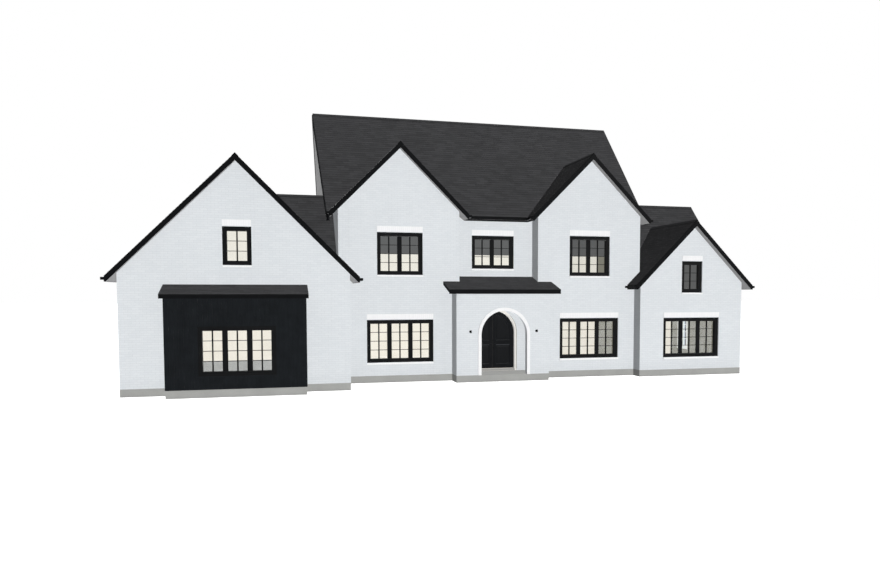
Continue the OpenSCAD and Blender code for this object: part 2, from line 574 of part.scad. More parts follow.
// gutter with closed ends along Y from y0 to y1, or along X from x0 to x1
module gut_y(y0, y1) { ey(y0, y1) gutter_s(); for (y = [y0, y1 - 10]) ey(y, y + 10) translate([0, -90]) square([gutter_w, 90]); }
module gut_x(x0, x1) { ex(x0, x1) gutter_s(); for (x = [x0, x1 - 10]) ex(x, x + 10) translate([0, -90]) square([gutter_w, 90]); }
module gutters() color("#1b1c1e") union() {
  translate([lx0 - eave_o, 0, gz_l]) mirror([1, 0, 0]) gut_y(ly0 - rake_o, ly1 + rake_o);
  translate([lx1 + eave_o, 0, gz_l]) gut_y(ly0 - rake_o, -20);
  translate([g1x0 - eave_o, 0, gz_m]) mirror([1, 0, 0]) gut_y(-rake_o, my0 - eave_o - 5);
  translate([g1x0 - eave_o - gutter_w / 2, -170, gz_m]) {
    translate([0, 0, -300]) cylinder(r = 48, h = 215, $fn = 32);
    translate([0, 0, -330]) cylinder(r = 56, h = 60, $fn = 32);
  }
  translate([g1x1 + eave_o, 0, gz_m]) gut_y(-rake_o, my0 - eave_o - gutter_w + 1);
  translate([g2x0 - eave_o, 0, gz_m]) mirror([1, 0, 0]) gut_y(-rake_o, my0 - eave_o - gutter_w + 1);
  translate([g2x1 + eave_o, 0, gz_m]) gut_y(-rake_o, my0 - eave_o - 5);
  translate([0, my0 - eave_o, gz_m]) mirror([0, 1, 0]) gut_x(g1x1 + eave_o, g2x0 - eave_o);
  translate([0, my1 + eave_o, gz_m]) gut_x(mbx0, mex1);
  translate([rx0 - eave_o, 0, gz_r]) mirror([1, 0, 0]) gut_y(ry0 - rake_o, -20);
  translate([rx1 + eave_o, 0, gz_r]) gut_y(ry0 - rake_o, sy0 - eave_o - 5);
  translate([0, sy1 + eave_o, gz_r]) gut_x(mx1 + 20, rx1 + rw_rake);
}

// ---------- windows ----------
module front_window_frames() color("#17181a") {
  on_front(lc, ly0, lgz) frame(1, small_h);
  on_front(bwx, by0 - rev, low_b) frame(3, low_h, bay_light);
  on_front(g1c, 0, low_z) frame(3, low_h);
  on_front(g1c, 0, up_z) frame(2, up_h);
  on_front(cxw, my0, cz) frame(2, ch);
  on_front(g2c, 0, low_z) frame(3, low_h);
  on_front(g2c, 0, up_z) frame(2, up_h);
  on_front(rc, ry0, low_z) frame(3, low_h);
  on_front(rc, ry0, rgz) frame(1, small_h);
}
module front_glass() color("#c9d4d8") {
  on_front(lc, ly0, lgz) panes(1, small_h);
  on_front(bwx, by0 - rev, low_b) panes(3, low_h, bay_light);
  on_front(g1c, 0, low_z) panes(3, low_h);
  on_front(g1c, 0, up_z) panes(2, up_h);
  on_front(cxw, my0, cz) panes(2, ch);
  on_front(g2c, 0, low_z) panes(3, low_h);
  on_front(g2c, 0, up_z) panes(2, up_h);
  on_front(rc, ry0, low_z) panes(3, low_h);
  on_front(rc, ry0, rgz) panes(1, small_h);
}
module rear_window_frames() color("#17181a") {
  for (c = lw_side) on_left(c, lx0, low_z) frame(2, low_h);
  for (c = rear_lw) on_rear(c, ly1, low_z) frame(1, low_h);
  on_rear(lc, ly1, lbz) frame(1, small_h);
  for (c = rear_low) on_rear(c, my1, low_z) frame(2, low_h);
  for (c = rear_low) on_rear(c, my1, up_z) frame(2, up_h);
  on_rear((mx1 + rx1) / 2, sy1, low_z) frame(3, low_h);
  for (c = rw_side) on_right(c, rx1, low_z) frame(1, low_h);
  on_right(syr, rx1, lgz) frame(1, small_h);
}
module rear_glass() color("#c9d4d8") {
  for (c = lw_side) on_left(c, lx0, low_z) panes(2, low_h);
  for (c = rear_lw) on_rear(c, ly1, low_z) panes(1, low_h);
  on_rear(lc, ly1, lbz) panes(1, small_h);
  for (c = rear_low) on_rear(c, my1, low_z) panes(2, low_h);
  for (c = rear_low) on_rear(c, my1, up_z) panes(2, up_h);
  on_rear((mx1 + rx1) / 2, sy1, low_z) panes(3, low_h);
  for (c = rw_side) on_right(c, rx1, low_z) panes(1, low_h);
  on_right(syr, rx1, lgz) panes(1, small_h);
}
module trim_pair(n, h) {
  w = win_w(n);
  bx(-w / 2, w / 2, -rev - 20, -rev, h + 20, h + 20 + lint_h);
  bx(-w / 2, w / 2, -rev - 50, -rev, -sill_h - 5, -5);
}
module lintels_and_sills() color("#f6f7f7") {
  on_front(lc, ly0, lgz) trim_pair(1, small_h);
  on_front(g1c, 0, low_z) trim_pair(3, low_h);
  on_front(g1c, 0, up_z) trim_pair(2, up_h);
  on_front(cxw, my0, cz) trim_pair(2, ch);
  on_front(g2c, 0, low_z) trim_pair(3, low_h);
  on_front(g2c, 0, up_z) trim_pair(2, up_h);
  on_front(rc, ry0, low_z) trim_pair(3, low_h);
  on_front(rc, ry0, rgz) trim_pair(1, small_h);
  for (c = lw_side) on_left(c, lx0, low_z) trim_pair(2, low_h);
  for (c = rear_lw) on_rear(c, ly1, low_z) trim_pair(1, low_h);
  on_rear(lc, ly1, lbz) trim_pair(1, small_h);
  for (c = rear_low) on_rear(c, my1, low_z) trim_pair(2, low_h);
  for (c = rear_low) on_rear(c, my1, up_z) trim_pair(2, up_h);
  on_rear((mx1 + rx1) / 2, sy1, low_z) trim_pair(3, low_h);
  for (c = rw_side) on_right(c, rx1, low_z) trim_pair(1, low_h);
  on_right(syr, rx1, lgz) trim_pair(1, small_h);
}
module porch_lights() color("#121315") for (s = [-1, 1]) translate([ax + s * 1300 - 30, py0, 1910]) {
  union() {
    ey(-16, 0) circle(r = 42, $fn = 32);
    ey(-60, -15) circle(r = 12, $fn = 24);
    translate([0, -75, -42]) cylinder(r = 38, h = 84, $fn = 32);
  }
}

at() foundation();
at() porch_slab();
at() left_wing_front_wall();
at() left_wing_left_wall();
at() left_wing_right_wall();
at() left_wing_back_wall();
at() bay_walls();
at() bay_roof();
at() main_left_wall();
at() main_right_wall();
at() main_back_wall();
at() left_gable_wall();
at() right_gable_wall();
at() entrance_wall_left();
at() entrance_wall_right();
at() entrance_wall_head();
at() porch_wall_left();
at() porch_wall_right();
at() porch_arch_head();
at() porch_roof();
at() arch_surround();
at() door_frame();
at() door_leaf_left();
at() door_leaf_right();
at() right_wing_front_wall();
at() right_wing_right_wall();
at() right_wing_back_wall();
at() upper_floor_main();
at() upper_floor_wings();
at() left_wing_roof();
at() link_roof();
at() main_roof();
at() front_gable_roofs();
at() right_wing_roof();
at() right_wing_gable_roof();
at() ridge_caps();
at() rake_boards();
at() fascia_boards();
at() gutters();
at() front_window_frames();
at() rear_window_frames();
at() front_glass();
at() rear_glass();
at() lintels_and_sills();
at() porch_lights();
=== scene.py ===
import bpy
import math
import random
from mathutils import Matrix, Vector


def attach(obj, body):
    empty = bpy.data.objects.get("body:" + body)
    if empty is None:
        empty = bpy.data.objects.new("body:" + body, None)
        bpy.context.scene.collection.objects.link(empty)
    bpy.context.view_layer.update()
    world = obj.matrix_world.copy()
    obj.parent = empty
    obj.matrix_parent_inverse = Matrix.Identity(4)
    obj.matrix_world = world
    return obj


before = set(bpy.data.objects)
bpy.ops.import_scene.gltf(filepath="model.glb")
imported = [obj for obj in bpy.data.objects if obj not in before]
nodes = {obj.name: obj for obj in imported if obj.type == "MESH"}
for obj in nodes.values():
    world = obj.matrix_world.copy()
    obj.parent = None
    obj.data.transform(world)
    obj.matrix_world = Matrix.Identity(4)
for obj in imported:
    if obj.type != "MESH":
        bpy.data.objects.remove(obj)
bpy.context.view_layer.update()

# Building lines below are in metres from the front left corner set-out; SX and SY bring them to the row frame.
SX, SY = 6.2625, 3.270


def P(x, y, z):
    return (x - SX, y - SY, z)


# ---------------------------------------------------------------- camera, floor and light
cam = bpy.data.objects.new("camera", bpy.data.cameras.new("camera"))
bpy.context.scene.collection.objects.link(cam)
cam.location = P(-0.604, -28.6, 3.352)
cam.rotation_euler = (math.pi / 2 - 0.0605, 0.0, -0.2589)
cam.data.sensor_fit = "HORIZONTAL"
cam.data.sensor_width = 36.0
cam.data.lens = 31.408
cam.data.shift_x = -0.04545
cam.data.shift_y = 0.06483
cam.data.clip_end = 600.0
bpy.context.scene.camera = cam

world = bpy.data.worlds.new("studio")
bpy.context.scene.world = world
world.use_nodes = True
wn = world.node_tree.nodes
wl = world.node_tree.links
AMBIENT = 0.08
wn["Background"].inputs["Color"].default_value = (0.93, 0.965, 1.0, 1.0)
wn["Background"].inputs["Strength"].default_value = AMBIENT
seen = wn.new("ShaderNodeBackground")
seen.inputs["Color"].default_value = (1.0, 1.0, 1.0, 1.0)
seen.inputs["Strength"].default_value = 1.0
ray = wn.new("ShaderNodeLightPath")
both = wn.new("ShaderNodeMixShader")
wl.new(ray.outputs["Is Camera Ray"], both.inputs[0])
wl.new(wn["Background"].outputs[0], both.inputs[1])
wl.new(seen.outputs[0], both.inputs[2])
wl.new(both.outputs[0], wn["World Output"].inputs["Surface"])


def sun(name, towards, strength, colour=(1, 1, 1), shadow=False, angle=20.0):
    data = bpy.data.lights.new(name, "SUN")
    data.energy = strength
    data.color = colour
    data.angle = math.radians(angle)
    data.use_shadow = shadow
    ob = bpy.data.objects.new(name, data)
    ob.rotation_euler = Vector(towards).to_track_quat("Z", "Y").to_euler()
    bpy.context.scene.collection.objects.link(ob)
    return ob


# large soft panels far away: one main, the others fill
sun("key", (0.50, -0.78, 0.42), 3.27, (1.0, 0.997, 0.99))
sun("top_fill", (0.35, 0.0, 1.0), 2.90)
sun("left_fill", (-1.0, 0.0, -0.80), 0.88)
sun("low_fill", (0.0, -0.10, -1.0), 1.45)
sun("back_fill", (0.20, 1.0, -0.16), 2.6)


# ---------------------------------------------------------------- material tools
class Mat:
    def __init__(self, name, rough=0.7):
        self.m = bpy.data.materials.new(name)
        self.m.use_nodes = True
        self.t = self.m.node_tree
        self.b = self.t.nodes["Principled BSDF"]
        self.b.inputs["Roughness"].default_value = rough
        self.b.inputs["Specular IOR Level"].default_value = 0.25
        self.tc = None
        self.parts = {}

    def node(self, kind, **props):
        n = self.t.nodes.new(kind)
        for k, v in props.items():
            setattr(n, k, v)
        return n

    def put(self, sock, value):
        if hasattr(value, "is_output"):
            self.t.links.new(value, sock)
        elif isinstance(value, (tuple, list)):
            sock.default_value = tuple(value) if len(value) == len(sock.default_value) else tuple(value) + (1.0,)
        else:
            sock.default_value = value

    def coords(self):
        if self.tc is None:
            self.tc = self.node("ShaderNodeTexCoord")
        return self.tc

    def pos(self):
        return self.coords().outputs["Object"]

    def split(self, what):
        if what not in self.parts:
            s = self.node("ShaderNodeSeparateXYZ")
            self.t.links.new(self.coords().outputs[what], s.inputs[0])
            self.parts[what] = s
        return self.parts[what].outputs

    def math(self, op, a, b=0.0, c=None, clamp=False):
        n = self.node("ShaderNodeMath", operation=op, use_clamp=clamp)
        self.put(n.inputs[0], a)
        if op not in ("ABSOLUTE", "FLOOR", "FRACT", "SQRT", "SINE"):
            self.put(n.inputs[1], b)
        if c is not None:
            self.put(n.inputs[2], c)
        return n.outputs[0]

    def ramp(self, v, lo, hi, out_lo=0.0, out_hi=1.0, smooth=False):
        n = self.node("ShaderNodeMapRange")
        n.interpolation_type = "SMOOTHSTEP" if smooth else "LINEAR"
        n.clamp = True
        self.put(n.inputs["Value"], v)
        n.inputs["From Min"].default_value = lo
        n.inputs["From Max"].default_value = hi
        n.inputs["To Min"].default_value = out_lo
        n.inputs["To Max"].default_value = out_hi
        return n.outputs["Result"]

    def mix(self, fac, a, b, blend="MIX"):
        n = self.node("ShaderNodeMix", data_type="RGBA", blend_type=blend)
        n.clamp_factor = True
        self.put(n.inputs[0], fac)
        self.put(n.inputs[6], a)
        self.put(n.inputs[7], b)
        return n.outputs[2]

    def mixf(self, fac, a, b):
        n = self.node("ShaderNodeMix", data_type="FLOAT")
        self.put(n.inputs[0], fac)
        self.put(n.inputs[2], a)
        self.put(n.inputs[3], b)
        return n.outputs[0]

    def vec(self, x, y, z=0.0):
        n = self.node("ShaderNodeCombineXYZ")
        self.put(n.inputs[0], x)
        self.put(n.inputs[1], y)
        self.put(n.inputs[2], z)
        return n.outputs[0]

    def noise(self, scale, detail=4.0, rough=0.55, vector=None, out="Fac"):
        n = self.node("ShaderNodeTexNoise")
        self.put(n.inputs["Vector"], vector if vector is not None else self.pos())
        n.inputs["Scale"].default_value = scale
        n.inputs["Detail"].default_value = detail
        n.inputs["Roughness"].default_value = rough
        return n.outputs[out]

    def stretched(self, sx, sy, sz):
        n = self.node("ShaderNodeMapping")
        self.t.links.new(self.pos(), n.inputs["Vector"])
        n.inputs["Scale"].default_value = (sx, sy, sz)
        return n.outputs[0]

    def shade(self, colour, amount):
        """colour times amount, where amount is a number socket near 1"""
        n = self.node("ShaderNodeVectorMath", operation="SCALE")
        self.put(n.inputs[0], colour[:3] if isinstance(colour, tuple) else colour)
        self.put(n.inputs[3], amount)
        return n.outputs[0]

    def bump(self, height, strength, distance, before=None):
        n = self.node("ShaderNodeBump")
        n.inputs["Strength"].default_value = strength
        n.inputs["Distance"].default_value = distance
        self.put(n.inputs["Height"], height)
        if before is not None:
            self.t.links.new(before, n.inputs["Normal"])
        return n.outputs[0]

    def wall_uv(self):
        """level run and height along any upright face"""
        p = self.split("Object")
        n = self.split("Normal")
        side = self.math("GREATER_THAN", self.math("ABSOLUTE", n[0]), 0.7)
        return self.mixf(side, p[0], p[1]), p[2]

    def brick(self, u, v, w, h, joint, smooth, c1, c2, cm, offset=0.5):
        n = self.node("ShaderNodeTexBrick")
        n.offset = offset
        self.put(n.inputs["Vector"], self.vec(u, v))
        self.put(n.inputs["Color1"], c1)
        self.put(n.inputs["Color2"], c2)
        self.put(n.inputs["Mortar"], cm)
        n.inputs["Scale"].default_value = 1.0
        n.inputs["Mortar Size"].default_value = joint
        n.inputs["Mortar Smooth"].default_value = smooth
        n.inputs["Bias"].default_value = 0.0
        n.inputs["Brick Width"].default_value = w
        n.inputs["Row Height"].default_value = h
        return n.outputs["Color"], n.outputs["Fac"]

    def done(self, colour, rough=None, normal=None):
        self.put(self.b.inputs["Base Color"], colour)
        if rough is not None:
            self.put(self.b.inputs["Roughness"], rough)
        if normal is not None:
            self.t.links.new(normal, self.b.inputs["Normal"])
        return self.m


def grey(v, warm=0.0):
    return (v * (1 + warm), v, v * (1 - warm), 1.0)


# Room volumes, each (low corner, high corner); inner faces of walls, floors and roofs lie in them.
ROOMS = [
    ((1.84, 0.23, 0.25), (13.45, 8.987, 12.0)),
    ((-5.275, -1.76, 0.25), (1.61, 8.26, 12.0)),
    ((-3.89, -2.617, 0.25), (0.185, -1.5, 3.6)),
    ((13.68, -0.326, 0.25), (17.80, 7.355, 12.0)),
]
PORCH = ((6.15, 0.0, 0.0), (9.33, 0.722, 12.0))


def box_mask(mt, lo, hi, grow):
    c = [(a + b) / 2 for a, b in zip(lo, hi)]
    h = [(b - a) / 2 + grow for a, b in zip(lo, hi)]
    sub = mt.node("ShaderNodeVectorMath", operation="SUBTRACT")
    mt.put(sub.inputs[0], mt.pos())
    sub.inputs[1].default_value = P(*c)
    ab = mt.node("ShaderNodeVectorMath", operation="ABSOLUTE")
    mt.put(ab.inputs[0], sub.outputs[0])
    d = mt.node("ShaderNodeVectorMath", operation="SUBTRACT")
    mt.put(d.inputs[0], ab.outputs[0])
    d.inputs[1].default_value = h
    s = mt.node("ShaderNodeSeparateXYZ")
    mt.put(s.inputs[0], d.outputs[0])
    m1 = mt.math("MAXIMUM", s.outputs[0], s.outputs[1])
    m2 = mt.math("MAXIMUM", m1, s.outputs[2])
    return mt.math("LESS_THAN", m2, 0.0)


def under_roof(mt, base, y0, y1, least):
    """1 below a roof that climbs at 45 degrees from both y0 and y1, and that is nowhere lower than least above base"""
    p = mt.split("Object")
    a = mt.math("SUBTRACT", p[1], y0 - SY)
    b = mt.math("SUBTRACT", y1 - SY, p[1])
    h = mt.math("MAXIMUM", mt.math("MINIMUM", a, b), least)
    return mt.math("LESS_THAN", mt.math("SUBTRACT", p[2], h), base)


def inside(mt):
    out = None
    for i, (lo, hi) in enumerate(ROOMS):
        k = box_mask(mt, lo, hi, 0.004)
        if i == 1:
            # only the strip beside the main block stands under the link roof
            x = mt.split("Object")[0]
            strip = mt.math("GREATER_THAN", x, 1.45 - SX)
            k = mt.math("MULTIPLY", k, mt.math("MAXIMUM", mt.math("SUBTRACT", 1.0, strip), under_roof(mt, 4.23, 0.42, 6.08, 0.0)))
            # the main roof's overhang stands above this roof
            edge = mt.math("GREATER_THAN", x, 0.80 - SX)
            k = mt.math("MULTIPLY", k, mt.math("MAXIMUM", mt.math("SUBTRACT", 1.0, edge), under_roof(mt, 4.23, 0.42, 6.08, 1.2)))
        if i == 3:
            x = mt.split("Object")[0]
            strip = mt.math("LESS_THAN", x, 13.80 - SX)
            k = mt.math("MULTIPLY", k, mt.math("MAXIMUM", mt.math("SUBTRACT", 1.0, strip), under_roof(mt, 3.475, 0.475, 7.895, 0.54)))
            edge = mt.math("LESS_THAN", x, 14.60 - SX)
            k = mt.math("MULTIPLY", k, mt.math("MAXIMUM", mt.math("SUBTRACT", 1.0, edge), under_roof(mt, 3.475, 0.475, 7.895, 1.725)))
        out = k if out is None else mt.math("MAXIMUM", out, k)
    return mt.math("MULTIPLY", out, mt.math("SUBTRACT", 1.0, box_mask(mt, PORCH[0], PORCH[1], 0.002)))


# glow colours of the rooms on the ground and upper floor, brighter upstairs: painted light
CREAM = (0.81, 0.742, 0.648, 1.0)
CREAM_UP = (0.91, 0.863, 0.79, 1.0)
SHADED_SIDE = (0.238, 0.226, 0.186, 1.0)
DIM = (0.115, 0.115, 0.118, 1.0)


def room_glow_colour(mt):
    """paint of the rooms: pale cream; grey on walls that face left, as painted shade; dark above the upper line of the
    main block, as painted shade
    """
    n = mt.split("Normal")
    p = mt.split("Object")
    left = mt.math("LESS_THAN", n[0], -0.7)
    deep = mt.math("GREATER_THAN", p[1], 3.80 - SY)
    main = box_mask(mt, (1.84, 0.0, 0.0), (13.5, 9.2, 13.0), 0.01)
    lit = mt.math("MULTIPLY", main, deep)
    far = mt.math("GREATER_THAN", p[1], 4.86 - SY)
    lit = mt.math("MAXIMUM", lit, far)
    cream = mt.mix(mt.math("GREATER_THAN", p[2], 3.20), CREAM, CREAM_UP)
    # walls that face left are greyer: painted shade
    c = mt.mix(mt.math("MULTIPLY", left, mt.math("SUBTRACT", 1.0, lit)), cream, SHADED_SIDE)
    line = mt.math("ADD", mt.math("MULTIPLY", p[1], 0.0506), 4.80 + 0.0506 * SY)
    high = mt.math("MULTIPLY", mt.math("GREATER_THAN", p[2], line), main)
    wing_high = mt.math("MULTIPLY", box_mask(mt, (13.6, -0.5, 3.3), (17.9, 7.5, 9.0), 0.01), left)
    # dark above the line, and on the right wing's high left-facing walls: painted shade
    c = mt.mix(mt.math("MAXIMUM", high, wing_high), c, DIM)
    return mt.shade(c, mt.ramp(mt.noise(1.3, 3.0), 0.3, 0.7, 0.975, 1.025))


def add_room_glow(mt, outer, rough=None):
    """mixes the outer paint with the rooms' paint, which glows by emission with no lamp: painted light"""
    k = inside(mt)
    inner = room_glow_colour(mt)
    colour = mt.mix(k, outer, mt.shade(inner, 0.25))
    # inner faces glow with the rooms' colour: painted light
    mt.put(mt.b.inputs["Emission Color"], inner)
    mt.put(mt.b.inputs["Emission Strength"], mt.math("MULTIPLY", k, 0.86))
    return colour


def white_brick():
    mt = Mat("white_painted_brick", 0.8)
    u, v = mt.wall_uv()
    v = mt.math("SUBTRACT", v, 0.26)
    col, fac = mt.brick(u, v, 0.225, 0.075, 0.0052, 0.35, (0.790, 0.823, 0.852), (0.755, 0.790, 0.822), (0.690, 0.722, 0.752))
    big = mt.ramp(mt.noise(0.35, 3.0), 0.3, 0.7, 0.985, 1.015)
    fine = mt.ramp(mt.noise(38.0, 5.0, 0.65), 0.25, 0.75, 0.965, 1.02)
    streak = mt.ramp(mt.noise(1.0, 4.0, 0.6, mt.stretched(5.0, 5.0, 0.35)), 0.55, 0.8, 1.0, 0.975)
    base = mt.ramp(mt.split("Object")[2], 0.26, 0.75, 0.955, 1.0, True)
    k = mt.math("MULTIPLY", mt.math("MULTIPLY", big, fine), mt.math("MULTIPLY", streak, base))
    col = mt.shade(col, k)
    h = mt.math("SUBTRACT", mt.math("MULTIPLY", mt.noise(55.0, 4.0, 0.7), 0.25), fac)
    nrm = mt.bump(h, 0.40, 0.005)
    rough = mt.ramp(mt.noise(14.0, 3.0), 0.3, 0.7, 0.72, 0.88)
    return mt.done(add_room_glow(mt, col), rough, nrm)


def trim_white():
    mt = Mat("white_soldier_bricks", 0.7)
    u, v = mt.wall_uv()
    col, fac = mt.brick(u, mt.math("ADD", v, 0.0), 0.075, 0.60, 0.0045, 0.35, (0.985, 0.99, 1.0), (0.95, 0.957, 0.97), (0.86, 0.868, 0.88), 0.0)
    fine = mt.ramp(mt.noise(40.0, 4.0, 0.6), 0.25, 0.75, 0.975, 1.01)
    col = mt.shade(col, fine)
    nrm = mt.bump(mt.math("SUBTRACT", mt.math("MULTIPLY", mt.noise(60.0, 4.0, 0.7), 0.2), fac), 0.4, 0.005)
    mt.put(mt.b.inputs["Emission Color"], (1.0, 1.0, 1.0))
    mt.b.inputs["Emission Strength"].default_value = 0.0
    return mt.done(col, mt.ramp(mt.noise(12.0, 3.0), 0.3, 0.7, 0.62, 0.78), nrm)


def arch_white():
    mt = Mat("white_arch_stone", 0.65)
    p = mt.split("Object")
    # radial joints round the arch, level joints on the jambs
    cx, cz = 7.724 - SX, 1.782
    dx = mt.math("SUBTRACT", p[0], cx)
    dz = mt.math("SUBTRACT", p[2], cz)
    ang = mt.math("MULTIPLY", mt.math("ARCTAN2", dz, dx), 0.95)
    run = mt.mixf(mt.math("GREATER_THAN", dz, 0.0), p[2], ang)
    col, fac = mt.brick(run, 0.1, 0.30, 5.0, 0.0035, 0.3, (0.98, 0.985, 0.995), (0.95, 0.955, 0.965), (0.84, 0.845, 0.86), 0.0)
    fine = mt.ramp(mt.noise(45.0, 5.0, 0.6), 0.25, 0.75, 0.975, 1.01)
    nrm = mt.bump(mt.math("SUBTRACT", mt.math("MULTIPLY", mt.noise(90.0, 4.0, 0.7), 0.2), fac), 0.35, 0.004)
    mt.put(mt.b.inputs["Emission Color"], (1.0, 1.0, 1.0))
    mt.b.inputs["Emission Strength"].default_value = 0.0
    return mt.done(mt.shade(col, fine), mt.ramp(mt.noise(9.0, 3.0), 0.3, 0.7, 0.58, 0.72), nrm)


def concrete():
    mt = Mat("cast_concrete", 0.8)
    a = mt.ramp(mt.noise(1.6, 5.0, 0.6), 0.3, 0.7, 0.93, 1.06)
    b = mt.ramp(mt.noise(30.0, 6.0, 0.7), 0.25, 0.75, 0.93, 1.05)
    edge = mt.ramp(mt.split("Object")[2], 0.0, 0.10, 0.90, 1.0, True)
    col = mt.shade((0.385, 0.388, 0.375, 1.0), mt.math("MULTIPLY", mt.math("MULTIPLY", a, b), edge))
    pores = mt.node("ShaderNodeTexVoronoi")
    mt.put(pores.inputs["Vector"], mt.pos())
    pores.inputs["Scale"].default_value = 42.0
    pit = mt.ramp(pores.outputs["Distance"], 0.0, 0.22, 0.0, 1.0)
    nrm = mt.bump(mt.math("ADD", mt.math("MULTIPLY", pit, 0.5), mt.noise(22.0, 6.0, 0.7)), 0.45, 0.004)
    # up-facing tops 0.64 times darker: painted shade
    col = mt.mix(mt.math("GREATER_THAN", mt.split("Normal")[2], 0.7), col, mt.shade(col, 0.64))
    # ground floors inside: smooth pale screed, which glows by emission with no lamp: painted light
    k = inside(mt)
    main = box_mask(mt, (1.84, 0.0, 0.0), (13.5, 9.2, 1.0), 0.01)
    screed = mt.mix(main, (0.262, 0.26, 0.256, 1.0), (0.72, 0.665, 0.59, 1.0))
    screed = mt.shade(screed, mt.ramp(mt.noise(2.2, 4.0), 0.3, 0.7, 0.96, 1.04))
    c = mt.mix(k, col, mt.shade(screed, 0.3))
    mt.put(mt.b.inputs["Emission Color"], screed)
    mt.put(mt.b.inputs["Emission Strength"], mt.math("MULTIPLY", k, 0.75))
    return mt.done(c, mt.ramp(mt.noise(8.0, 4.0), 0.3, 0.7, 0.72, 0.9), nrm)


def room_side(mt):
    """1 on the room side of the windows in the side and rear walls"""
    out = None
    for lo, hi in ROOMS:
        k = box_mask(mt, (lo[0], lo[1] + 0.5, lo[2]), hi, 0.088)
        out = k if out is None else mt.math("MAXIMUM", out, k)
    return out


def black_paint(name, colour=(0.0125, 0.0135, 0.015, 1.0), rough=0.42, grain=0.0, gloss=0.08, two=False):
    mt = Mat(name, rough)
    mt.b.inputs["Specular IOR Level"].default_value = gloss
    a = mt.ramp(mt.noise(2.5, 4.0), 0.3, 0.7, 0.85, 1.2)
    b = mt.ramp(mt.noise(70.0, 4.0, 0.6), 0.3, 0.7, 0.9, 1.12)
    col = mt.shade(colour, mt.math("MULTIPLY", a, b))
    h = mt.noise(120.0, 3.0, 0.6)
    if grain:
        g = mt.noise(1.0, 5.0, 0.65, mt.stretched(90.0, 90.0, 2.2))
        h = mt.math("ADD", mt.math("MULTIPLY", g, 1.6), mt.math("MULTIPLY", h, 0.4))
        col = mt.shade(col, mt.ramp(g, 0.3, 0.7, 0.82, 1.2))
    nrm = mt.bump(h, 0.25 + grain, 0.0012 + 0.001 * grain)
    if two:
        k = room_side(mt)
        pale = mt.shade((0.80, 0.80, 0.78, 1.0), mt.ramp(mt.noise(3.0, 3.0), 0.3, 0.7, 0.97, 1.03))
        col = mt.mix(k, col, mt.shade(pale, 0.3))
        # the pale inside paint glows with no lamp: painted light
        mt.put(mt.b.inputs["Emission Color"], pale)
        mt.put(mt.b.inputs["Emission Strength"], mt.math("MULTIPLY", k, 0.8))
    return mt.done(col, mt.ramp(mt.noise(16.0, 4.0), 0.3, 0.7, rough - 0.06, rough + 0.12), nrm)


def door_bead():
    """smooth black beads of the door mouldings; the tint attribute lightens some sides as painted highlight"""
    mt = Mat("black_door_beads", 0.35)
    mt.b.inputs["Specular IOR Level"].default_value = 0.05
    at = mt.node("ShaderNodeAttribute", attribute_name="tint")
    g = mt.noise(1.0, 5.0, 0.6, mt.stretched(60.0, 60.0, 3.0))
    col = mt.shade((0.0090, 0.0097, 0.0110, 1.0), mt.math("MULTIPLY", at.outputs["Fac"], mt.ramp(g, 0.3, 0.7, 0.85, 1.15)))
    return mt.done(col, mt.ramp(mt.noise(9.0, 3.0), 0.3, 0.7, 0.32, 0.46), mt.bump(g, 0.2, 0.001))


def shingle(name, plain=False, deep=1.0, rooms=True):
    """charcoal shingles; plain is for the solid below them, whose edges are painted black and whose underside is boarded"""
    mt = Mat(name, 0.85)
    mt.b.inputs["Specular IOR Level"].default_value = 0.08
    v1 = mt.ramp(mt.noise(60.0, 6.0, 0.75), 0.2, 0.8, 0.72, 1.3)
    v2 = mt.ramp(mt.noise(0.9, 4.0, 0.6), 0.3, 0.7, 0.93, 1.07)
    tone = (0.0264 * deep, 0.0265 * deep, 0.0280 * deep, 1.0)
    if plain:
        col = mt.shade(tone, mt.math("MULTIPLY", v1, v2))
    else:
        at = mt.node("ShaderNodeAttribute", attribute_name="tint")
        col = mt.shade(tone, mt.math("MULTIPLY", mt.math("MULTIPLY", v1, v2), at.outputs["Fac"]))
    grit = mt.noise(260.0, 3.0, 0.7)
    nrm = mt.bump(grit, 0.35, 0.0012)
    if plain:
        n = mt.split("Normal")
        p = mt.split("Object")
        edge = mt.math("LESS_THAN", mt.math("ABSOLUTE", n[2]), 0.3)
        col = mt.mix(edge, col, (0.0048, 0.0051, 0.0056, 1.0))
        under = mt.math("LESS_THAN", n[2], -0.3)
        # soffit boards run along the eave
        run = mt.math("ADD", mt.math("MULTIPLY", p[0], 1.0), mt.math("MULTIPLY", p[1], 1.0))
        joint = mt.math("GREATER_THAN", mt.math("FRACT", mt.math("MULTIPLY", run, 7.0)), 0.96)
        soffit = mt.mix(joint, (0.35, 0.353, 0.357, 1.0), (0.247, 0.25, 0.254, 1.0))
        soffit = mt.shade(soffit, mt.ramp(mt.noise(3.0, 4.0), 0.3, 0.7, 0.96, 1.04))
        col = mt.mix(under, col, soffit)
    if plain and rooms:
        k = inside(mt)
        # roof undersides in the rooms glow dark grey with no lamp: painted light for a shaded ceiling
        col = mt.mix(k, col, (0.03, 0.03, 0.031, 1.0))
        mt.put(mt.b.inputs["Emission Color"], mt.shade((0.118, 0.118, 0.12, 1.0), mt.ramp(mt.noise(1.1, 3.0), 0.3, 0.7, 0.95, 1.05)))
        mt.put(mt.b.inputs["Emission Strength"], mt.math("MULTIPLY", k, 0.85))
    return mt.done(col, mt.ramp(mt.noise(24.0, 4.0), 0.3, 0.7, 0.78, 0.95), nrm)


